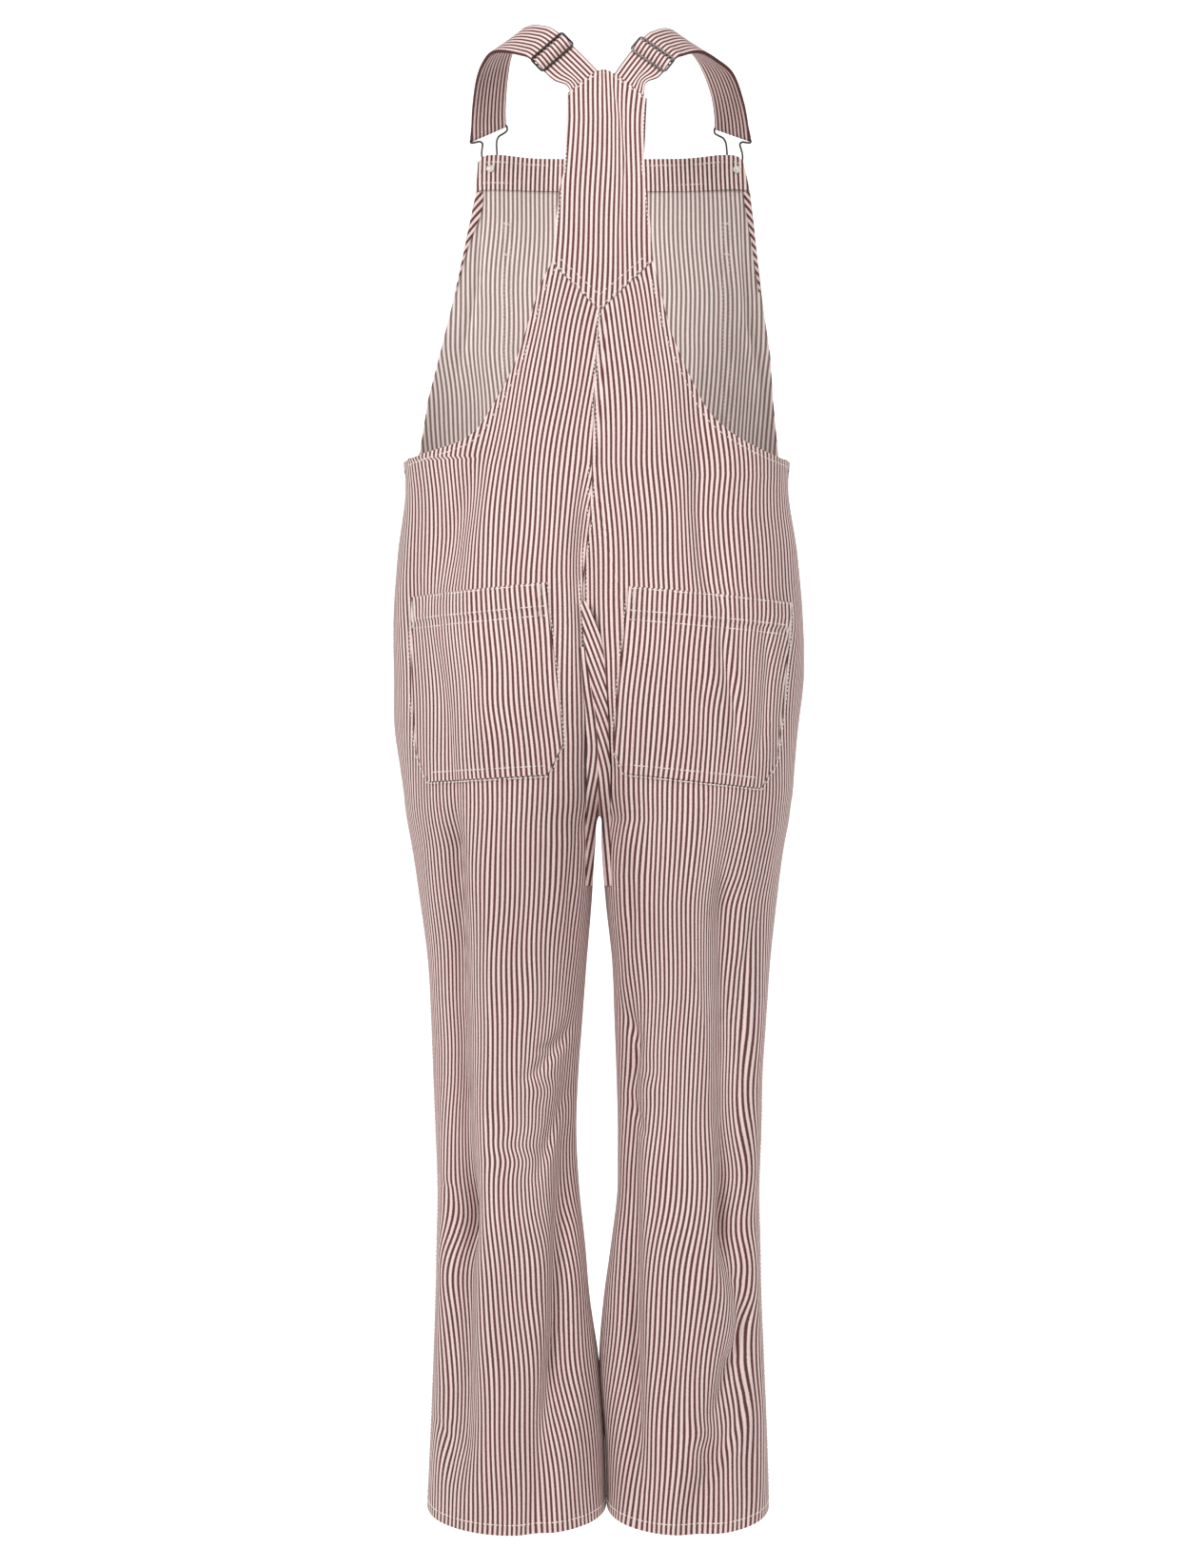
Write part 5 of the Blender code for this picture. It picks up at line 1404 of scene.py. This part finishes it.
# %% The strip's route
def strap_route(length, slider_at):
    """(s, h) of the strip: from the yoke through the slider, round the clip's bar and back."""
    ride = WIRE / 2 + SEAM + STRAP_CLOTH / 2
    half = SLIDER_LENGTH / 2
    over, under = SLIDER_RAISE + ride + SLIDER_HUMP, SLIDER_RAISE - ride
    layer = (STRAP_CLOTH + SEAM) / 2
    route = [(s, 0.0) for s in (0.0, 0.005, 0.012, 0.018, 0.024)]
    route += [(slider_at - half - 0.003, under), (slider_at - half + 0.002, under)]
    for step in range(-3, 4):
        low = under + 1.3 * STRAP_CLOTH
        route.append((slider_at + step * 0.0019, low + (over - low) * cos(step / 3 * pi / 2) ** 0.8))
    route += [(slider_at + half - 0.002, under), (slider_at + half + 0.003, under)]
    open_run = np.linspace(slider_at + half + 0.010, length - 0.010, 15)
    route += [(s, layer) for s in open_run] + [(length - 0.004, ride * 0.8)]
    for step in range(9):
        turn = pi / 2 - step * pi / 8
        route.append((length + ride * cos(turn), ride * sin(turn)))
    route += [(length - 0.004, -ride * 0.8)] + [(s, -layer) for s in open_run[::-1]]
    return np.array(route + [(slider_at + half + 0.003, under - STRAP_CLOTH - SEAM)])


# %% Straps
def strap_piece(side):
    name = "strap_" + SIDE_NAME[side]
    strap = Strap(side)
    knots = strap_route(strap.length, SLIDER_AT[side])
    steps = steps_along(knots)
    fine = np.unique(np.concatenate([steps, np.arange(0, steps[-1], 0.002)]))
    route = rounded(steps, knots, fine)
    off = np.linspace(-STRAP_WIDTH / 2, STRAP_WIDTH / 2, 17)
    s, off_grid = np.meshgrid(route[:, 0], off, indexing="ij")
    h, _ = np.meshgrid(route[:, 1], off, indexing="ij")
    by_the_yoke = np.exp(-(((s - PINCH_AT) / PINCH_LONG) ** 2))
    armhole_side = np.clip(-2 * off_grid / STRAP_WIDTH, 0, 1)
    points = strap.points(s, h, off_grid + STRAP_PINCH[side] * by_the_yoke * armhole_side)
    cloth = np.stack([off_grid * PITCH / STRAP_PITCH, np.repeat(fine[:, None], len(off), axis=1)], axis=-1)
    shell(name + "_cloth", points, cloth, STRAP_CLOTH, side, (RIGHT_SIDE, RIGHT_SIDE), name,
          STRAP_CLOTH / 2)
    return strap


STRAP_LINES = {side: strap_piece(side) for side in (LEFT, RIGHT)}

# %% [markdown]
# ## Sewing
# Pale thread on a dark stripe is what makes the seams readable. A painted dash would do from afar,
# but it throws no shadow, so every stitch is real thread: one small bead-shaped mesh, with its ends
# sunk in the cloth. A row is given as points on the cloth and the normals there.

# %% Rows on a surface
OVER = 0.0002  # lift of a row over the cloth it is sewn on


def off_surface(surface, x, z, lift):
    """Points `lift` off a surface(x, z) as seen from behind, and the normals there."""
    step = 0.0006
    here = surface(x, z)
    normals = np.cross(surface(x + step, z) - here, surface(x, z + step) - here)
    normals /= np.linalg.norm(normals, axis=-1, keepdims=True)
    return here + lift * normals, normals


def row_on(surface, path, lift):
    """A row along an (x, z) path on a surface."""
    path = np.array(path, float)
    gone = steps_along(path)
    at = np.linspace(0, gone[-1], max(3, int(gone[-1] / 0.002)))
    x, z = np.interp(at, gone, path[:, 0]), np.interp(at, gone, path[:, 1])
    return off_surface(surface, x, z, lift)


# %% Beads of thread
STITCH, STITCH_GAP, THREAD_RADIUS = 0.0027, 0.0012, 0.00038
SIDES = 5  # of a bead, which has four rings
RING_AT = np.array([0.0, 0.18, 0.82, 1.0])  # each ring's place along its stitch
RING_SIZE = np.array([0.35, 1.0, 1.0, 0.35])
RING_RISE = np.array([-0.0004, 0.0001, 0.0001, -0.0004])
STRAY = 0.00025  # how unevenly the stitches are spaced


def sink_stitches(points, normals, stitch, gap, wander):
    """(centres, normals, sides) of the rings of all stitches in a row."""
    gone = steps_along(points)
    count = max(1, int((gone[-1] + gap) / (stitch + gap)))
    start = np.arange(count) * (stitch + gap) + STRAY * np.sin(np.arange(count) * 2.4 + wander)
    at = start[:, None] + RING_AT * stitch
    centres, ups = read_path(at, gone, points), read_path(at, gone, normals)
    travel = centres[:, -1:] - centres[:, :1]
    travel /= np.linalg.norm(travel, axis=2, keepdims=True)
    sides = np.cross(travel, ups)
    return centres + ups * RING_RISE[:, None], ups, sides


def recalculate(mesh):
    """Turns all faces of a mesh outwards."""
    work = bmesh.new()
    work.from_mesh(mesh)
    bmesh.ops.recalc_face_normals(work, faces=work.faces)
    work.to_mesh(mesh)
    work.free()


def sew(name, rows, look, stitch=STITCH, gap=STITCH_GAP, radius=THREAD_RADIUS):
    """One mesh with a small closed bead for each stitch of the rows."""
    verts, faces, base = [], [], 0
    turn = np.arange(SIDES) * 2 * pi / SIDES
    for number, (points, normals) in enumerate(rows):
        centres, ups, sides = sink_stitches(points, normals, stitch, gap, number)
        spokes = np.cos(turn)[:, None] * ups[:, :, None] + np.sin(turn)[:, None] * sides[:, :, None]
        rings = centres[:, :, None] + radius * RING_SIZE[:, None, None] * spokes
        verts.append(rings.reshape(-1, 3))
        for bead in range(len(centres)):
            first = base + bead * 4 * SIDES
            for ring in range(3):
                here = first + ring * SIDES
                for k in range(SIDES):
                    after = (k + 1) % SIDES
                    faces.append((here + k, here + after, here + SIDES + after, here + SIDES + k))
            faces.append(tuple(range(first + SIDES - 1, first - 1, -1)))
            faces.append(tuple(range(first + 3 * SIDES, first + 4 * SIDES)))
        base += len(rings.reshape(-1, 3))
    mesh = bpy.data.meshes.new(name)
    mesh.from_pydata(np.concatenate(verts).tolist(), [], faces)
    mesh.materials.append(look)
    mesh.shade_smooth()
    recalculate(mesh)
    add_piece(name, mesh)
    print(f"{name}: {len(faces) // (3 * SIDES + 2)} stitches")


# %% Yoke and armhole rows
def inset(path, distance):
    """A path moved to its left by a distance, as seen from behind with x to the right."""
    path = np.array(path, float)
    runs = np.gradient(path, axis=0)
    runs /= np.linalg.norm(runs, axis=1, keepdims=True)
    return path + distance * np.stack([-runs[:, 1], runs[:, 0]], axis=1)


def back_of(side):
    return lambda x, z: skin(side, BACK, x, z)


def path_of(place, u, v):
    """The (x, z) path of a piece's own places u, v; a single number counts for the whole row."""
    return np.stack(place(*np.broadcast_arrays(u, v)), axis=1)


def armhole_row(side, distance):
    return inset(np.stack(armhole(side, np.linspace(0.01, 0.985, 60)), axis=1), side * distance)


across_yoke = np.linspace(-0.95, 0.95, 41)
up_yoke = np.linspace(0.02, 0.965, 41)
yoke_rows = [
    path_of(yoke_place, across_yoke, 0.0120),
    path_of(yoke_place, across_yoke * 0.93, 0.0620),
    path_of(yoke_place, -0.955, up_yoke),
    path_of(yoke_place, 0.955, up_yoke),
    path_of(yoke_place, across_yoke, 0.985),
]
sew("yoke_stitches", [row_on(yoke_skin, path, CLOTH + OVER) for path in yoke_rows], THREAD)
FROM_EDGE = 0.0055  # of the armhole's row
armhole_rows = [row_on(back_of(side), armhole_row(side, FROM_EDGE), OVER) for side in (LEFT, RIGHT)]
sew("armhole_stitches", armhole_rows, THREAD)

# %% Pocket rows
def pocket_path(side, u, v):
    return path_of(lambda u, v: pocket_place(side, u, v), u, v)


def pocket_outline(side):
    """The pocket's free edge from the inner end of its mouth round to the outer end."""
    down = np.linspace(0, 1, 40)
    foot = pocket_path(side, np.linspace(0.02, 0.98, 40), 1.0)
    return np.concatenate([pocket_path(side, 0.0, down), foot, pocket_path(side, 1.0, down[::-1])])


def pocket_rows(side):
    """The row round the edge, and level rows a distance below the mouth, on one layer or two."""
    surface, height = back_of(side), pocket_height(side)
    single, double = LAP + CLOTH + OVER, LAP + DOUBLE + OVER
    rows = [row_on(surface, inset(pocket_outline(side), -side * 0.0017), LAP + CLOTH + 0.0006)]
    lines = ((0.06, height - 0.0085, single), (0.02, 0.0215, double), (0.02, 0.0300, single),
             (0.01, 0.0016, double))
    for start, below, lift in lines:
        line = pocket_path(side, np.linspace(start, 1 - start, 40), below / height)
        rows.append(row_on(surface, line, lift))
    return rows


# %% Pockets and their bartacks
RUNG, RUNG_SLOPE = 0.0011, 0.0004  # the step from rung to rung, and how far each one slants
POCKET_TACKS = table("u v width height", (0.035, 0.01, 0.0045, 0.029), (0.975, 0.02, 0.0035, 0.026))


def bartack(surface, x, z, width, height, lift):
    """Close rungs of thread across a narrow upright bar."""
    rungs = []
    for low in z - np.arange(0, height, RUNG):
        rungs.append(row_on(surface, [(x - width / 2, low), (x + width / 2, low - RUNG_SLOPE)], lift))
    return rungs


for side in (LEFT, RIGHT):
    sew(f"pocket_{SIDE_NAME[side]}_stitches", pocket_rows(side), THREAD)
    rungs = []
    for tack in POCKET_TACKS:
        x, z = pocket_place(side, tack.u, tack.v)
        rungs += bartack(back_of(side), x, z, tack.width, tack.height, LAP + DOUBLE + 0.0003)
    sew(f"pocket_{SIDE_NAME[side]}_bartacks", rungs, THREAD, 0.0030, 0.0004, 0.00030)

# %% Rows on the legs
# The rows and columns of a leg's grid that the hem, the side seam and the centre seam are sewn on.
HEM_LINE, SIDE_LINE, CENTRE_LINE = np.s_[3, 1:-1], np.s_[4:330, -2], np.s_[228:, 1]


def grid_row(name, pick):
    """A row along a line of a piece's own grid."""
    top, normals = GRIDS[name]
    return top[pick] + OVER * normals[pick], normals[pick]


for side in (LEFT, RIGHT):
    word = SIDE_NAME[side]
    hem_rows = [grid_row(f"{face}_{word}_cloth", HEM_LINE) for face in ("back", "front")]
    sew(f"hem_{word}_stitches", hem_rows, THREAD)
    sew(f"side_seam_{word}_stitches", [grid_row(f"back_{word}_cloth", SIDE_LINE)], THREAD)
    sew(f"centre_seam_{word}_stitches", [grid_row(f"back_{word}_cloth", CENTRE_LINE)], THREAD)

# %% Rows inside the bib
INSIDE = CLOTH + OVER  # lift of a row on the bib's wrong side
ON_FACING = 2 * CLOTH + SEAM + OVER

wide = np.linspace(-0.985, 0.985, 60)
facing_paths = [path_of(bib_place, wide, v) for v in (0.978, facing_foot + 0.022)]
sew("facing_stitches", [row_on(bib_skin, path, ON_FACING) for path in facing_paths], THREAD)
pocket_edge = [(BIB_POCKET_X[0] + k, BIB_POCKET_X[1] - k) for k in (0.0015, 0.0080)]
bib_rows = []
for pair in pocket_edge:
    for x in pair:
        bib_rows.append(row_on(bib_skin, [(x, BIB_POCKET_Z[1]), (x, BIB_POCKET_Z[0])], INSIDE))
    low = BIB_POCKET_Z[0] + pair[0] - BIB_POCKET_X[0]
    bib_rows.append(row_on(bib_skin, [(pair[0], low), (pair[1], low)], INSIDE))
sew("bib_pocket_stitches", bib_rows, FADED_THREAD)
tacks = []
for x in (-0.0910, 0.1250):
    for z in (-0.1660, -0.1960):
        tacks += bartack(bib_skin, x, z, 0.0070, 0.0022, INSIDE)
sew("bib_bartacks", tacks, THREAD, 0.0062, 0.0008, 0.00032)

# %% [markdown]
# ## Metal
# Sliders and clips are bent from round wire. A tube could be extruded ring by ring, but a curve
# with a round bevel keeps the wire round through every bend, and is then made a mesh. The buttons
# and the small rivet backs are turned pieces, shaped from a disc by insets and bevels.

# %% Wires
def wire(name, paths, look):
    """Round wire along one or more paths; each path is (points, closed)."""
    curve = bpy.data.curves.new(name, "CURVE")
    curve.dimensions = "3D"
    curve.bevel_depth = WIRE / 2
    curve.bevel_resolution = 4
    curve.use_fill_caps = True
    for points, closed in paths:
        spline = curve.splines.new("POLY")
        spline.points.add(len(points) - 1)
        spline.points.foreach_set("co", np.hstack([points, np.ones((len(points), 1))]).reshape(-1))
        spline.use_cyclic_u = closed
    curve.materials.append(look)
    piece = bpy.data.objects.new(name + "_wire", curve)
    bpy.context.collection.objects.link(piece)
    bpy.ops.object.select_all(action="DESELECT")
    piece.select_set(True)
    bpy.context.view_layer.objects.active = piece
    bpy.ops.object.convert(target="MESH")
    bpy.ops.object.shade_smooth_by_angle(angle=radians(40))
    piece = bpy.context.view_layer.objects.active
    enter(piece, name)
    print(f"{piece.name}: {len(piece.data.polygons)} faces")


def round_path(points, count, closed):
    """A smooth path through points, by the same curve as the straps."""
    points = np.array(points)
    if closed:
        points = np.vstack([points[-2:], points, points[:3]])
    steps = steps_along(points)
    start, end = (steps[2], steps[-3]) if closed else (0, steps[-1])
    at = np.linspace(start, end, count + 1)[:-1] if closed else np.linspace(start, end, count)
    return rounded(steps, points, at)


# %% Sliders
def slider_wires(side):
    """The outer frame of the slider and the bar across its middle, under the strap."""
    strap = STRAP_LINES[side]
    half_wide = STRAP_WIDTH / 2 + SEAM + WIRE / 2
    half_long, corner = SLIDER_LENGTH / 2, 0.0028
    outline = []
    for way_s, way_off, start in ((1, 1, 0), (-1, 1, 90), (-1, -1, 180), (1, -1, 270)):
        for turn in np.radians(start + np.linspace(0, 90, 9)):
            along = way_s * (half_long - corner) + corner * cos(turn)
            outline.append((along, way_off * (half_wide - corner) + corner * sin(turn)))
    outline = np.array(outline + [(0.0, -half_wide), (0.0, half_wide)])
    at = strap.flat_points(SLIDER_AT[side], outline[:, 0], outline[:, 1], SLIDER_RAISE)
    return [(at[:-2], True), (at[-2:], False)]


wire("slider_left", slider_wires(LEFT), DARK_WIRE)
wire("slider_right", slider_wires(RIGHT), PALE_WIRE)

# %% Clips
CLIP = table(
    "off down",
    (0.0188, 0.0000), (0.0203, 0.0020), (0.0196, 0.0048),
    (0.0150, 0.0060), (0.0100, 0.0070), (0.0076, 0.0094),
    (0.0072, 0.0150), (0.0075, 0.0200), (0.0070, 0.0250),
    (0.0054, 0.0292), (0.0042, 0.0330),
)
BUTTON = {LEFT: (-0.1070, -0.1135), RIGHT: (0.1340, -0.1145)}
SHANK_LENGTH, SHANK_RADIUS, BUTTON_RADIUS, RIVET_RADIUS = 0.0034, 0.0028, 0.0085, 0.0036


def clip_path(side):
    """Bar through the strap's fold, shoulders, neck, and a narrow foot round the button's shank."""
    middle, along, down_way = STRAP_LINES[side].bar()
    x, z = BUTTON[side]
    shank_y = bib_skin(x, z)[1] + SHANK_LENGTH / 2 + SEAM
    foot_drop = middle[2] - z
    neck = [(point.off, point.down) for point in CLIP]
    foot = [(CLIP[-1].off * cos(turn), foot_drop + CLIP[-1].off * sin(turn))
            for turn in np.radians((20, 55, 90, 125, 160))]
    points = []
    for off, down in neck + foot + [(-off, down) for off, down in neck[::-1]]:
        on_bar = middle + off * along + down * down_way
        across_x = x + (middle[0] - x) * max(0.0, 1 - down / foot_drop)
        on_bib = np.array([across_x - side * off, shank_y, middle[2] - down])
        ease = min(1.0, down / 0.018)
        points.append(on_bar + ease * ease * (3 - 2 * ease) * (on_bib - on_bar))
    return round_path(points, 150, True)


for side in (LEFT, RIGHT):
    wire("clip_" + SIDE_NAME[side], [(clip_path(side), True)], DARK_WIRE)

# %% Buttons and rivet backs
def turned_disc(name, radius, depth, place, face_y, look, replaces, rim, dish):
    """A disc whose far face is inset and dished, standing at `place` and facing +Y or -Y."""
    bpy.ops.object.select_all(action="DESELECT")
    bpy.ops.mesh.primitive_cylinder_add(vertices=40, radius=radius, depth=depth, location=place,
                                        rotation=(-face_y * pi / 2, 0, 0))
    piece = bpy.context.active_object
    piece.name = name
    bpy.ops.object.transform_apply(location=True, rotation=True, scale=True)
    bpy.ops.object.mode_set(mode="EDIT")
    work = bmesh.from_edit_mesh(piece.data)
    for part in work.faces:
        part.select = len(part.verts) > 4 and part.normal.y * face_y > 0.5
    bmesh.update_edit_mesh(piece.data)
    bpy.ops.mesh.select_mode(type="FACE")
    bpy.ops.mesh.inset(thickness=rim, depth=0)
    bpy.ops.mesh.inset(thickness=rim * 0.3, depth=-dish)
    bpy.ops.mesh.inset(thickness=rim, depth=dish * 0.4)
    bpy.ops.mesh.inset(thickness=rim * 0.8, depth=dish * 0.3)
    bpy.ops.object.mode_set(mode="OBJECT")
    edges = piece.modifiers.new("edges", "BEVEL")
    edges.width = min(0.0004, depth * 0.3)
    edges.segments = 3
    edges.limit_method = "ANGLE"
    bpy.ops.object.modifier_apply(modifier="edges")
    bpy.ops.object.shade_smooth_by_angle(angle=radians(35))
    piece.data.materials.append(look)
    enter(piece, replaces)
    print(f"{name}: {len(piece.data.polygons)} faces")


for side in (LEFT, RIGHT):
    word = SIDE_NAME[side]
    x, z = BUTTON[side]
    front = bib_skin(x, z)[1] + SEAM
    turned_disc(f"button_{word}_head", BUTTON_RADIUS, 0.0016, (x, front + SHANK_LENGTH + 0.0008, z), 1,
                DARK_WIRE, f"button_{word}", 0.0016, 0.0004)
    turned_disc(f"button_{word}_shank", SHANK_RADIUS, SHANK_LENGTH, (x, front + SHANK_LENGTH / 2, z), 1,
                DARK_WIRE, None, 0.0004, 0.0001)
    back = bib_skin(x, z)[1] - 2 * CLOTH - 3 * SEAM
    turned_disc(f"rivet_{word}_back", RIVET_RADIUS, 0.0010, (x, back - 0.0005, z), -1,
                RIVET_METAL, f"rivet_{word}", 0.0008, 0.0003)

# %% [markdown]
# ## The floor
# A studio hangs a roll of paper behind the garment and lets it run out along the floor in one
# curve, so that no corner shows. A plane with a wall would need that corner hidden. One bent sheet
# is simpler. Behind the garment it glows a little and goes white; near the camera it stays grey, so
# that it throws no light back on the cloth.

# %% Floor
FLOOR_Z = -1.47
GREY, WHITE = (0.35, 0.35, 0.35, 1), (0.93, 0.93, 0.93, 1)


def sweep():
    profile = [(-6.0, 0.0), (2.0, 0.0)]
    profile += [(2.0 + 1.5 * sin(t), 1.5 - 1.5 * cos(t)) for t in np.linspace(0.1, pi / 2, 12)]
    profile.append((3.5, 6.0))
    points = [(x, y, z + FLOOR_Z) for x in (-6.0, 6.0) for y, z in profile]
    count = len(profile)
    faces = [(i, i + count, i + 1 + count, i + 1) for i in range(count - 1)]
    mesh = bpy.data.meshes.new("floor")
    mesh.from_pydata(points, [], faces)
    mesh.shade_smooth()
    finish = Finish("white_sweep")
    place = finish.node("ShaderNodeTexCoord", None, (), 3)
    behind = finish.ramp(finish.node("ShaderNodeSeparateXYZ", None, [place], 1), -0.6, 0.0)
    finish.set("Base Color", finish.blend(behind, GREY, WHITE))
    finish.set("Roughness", 0.9)
    finish.set("Emission Color", finish.blend(behind, (0, 0, 0, 1), (1, 1, 1, 1)))
    finish.set("Emission Strength", 0.55)
    mesh.materials.append(finish.material)
    floor = bpy.data.objects.new("floor", mesh)
    bpy.context.collection.objects.link(floor)
    print(f"floor: {len(faces)} faces")


sweep()

# %% [markdown]
# ## The flat cuts
# Every piece of cloth was flat once. Its size could be read from a pattern, but the shells already
# measured it along the cloth as they were made.

for name, (piece, flat, area) in PIECES.items():
    min(area, flat[0] * flat[1])
print("sheets:", len(PIECES))
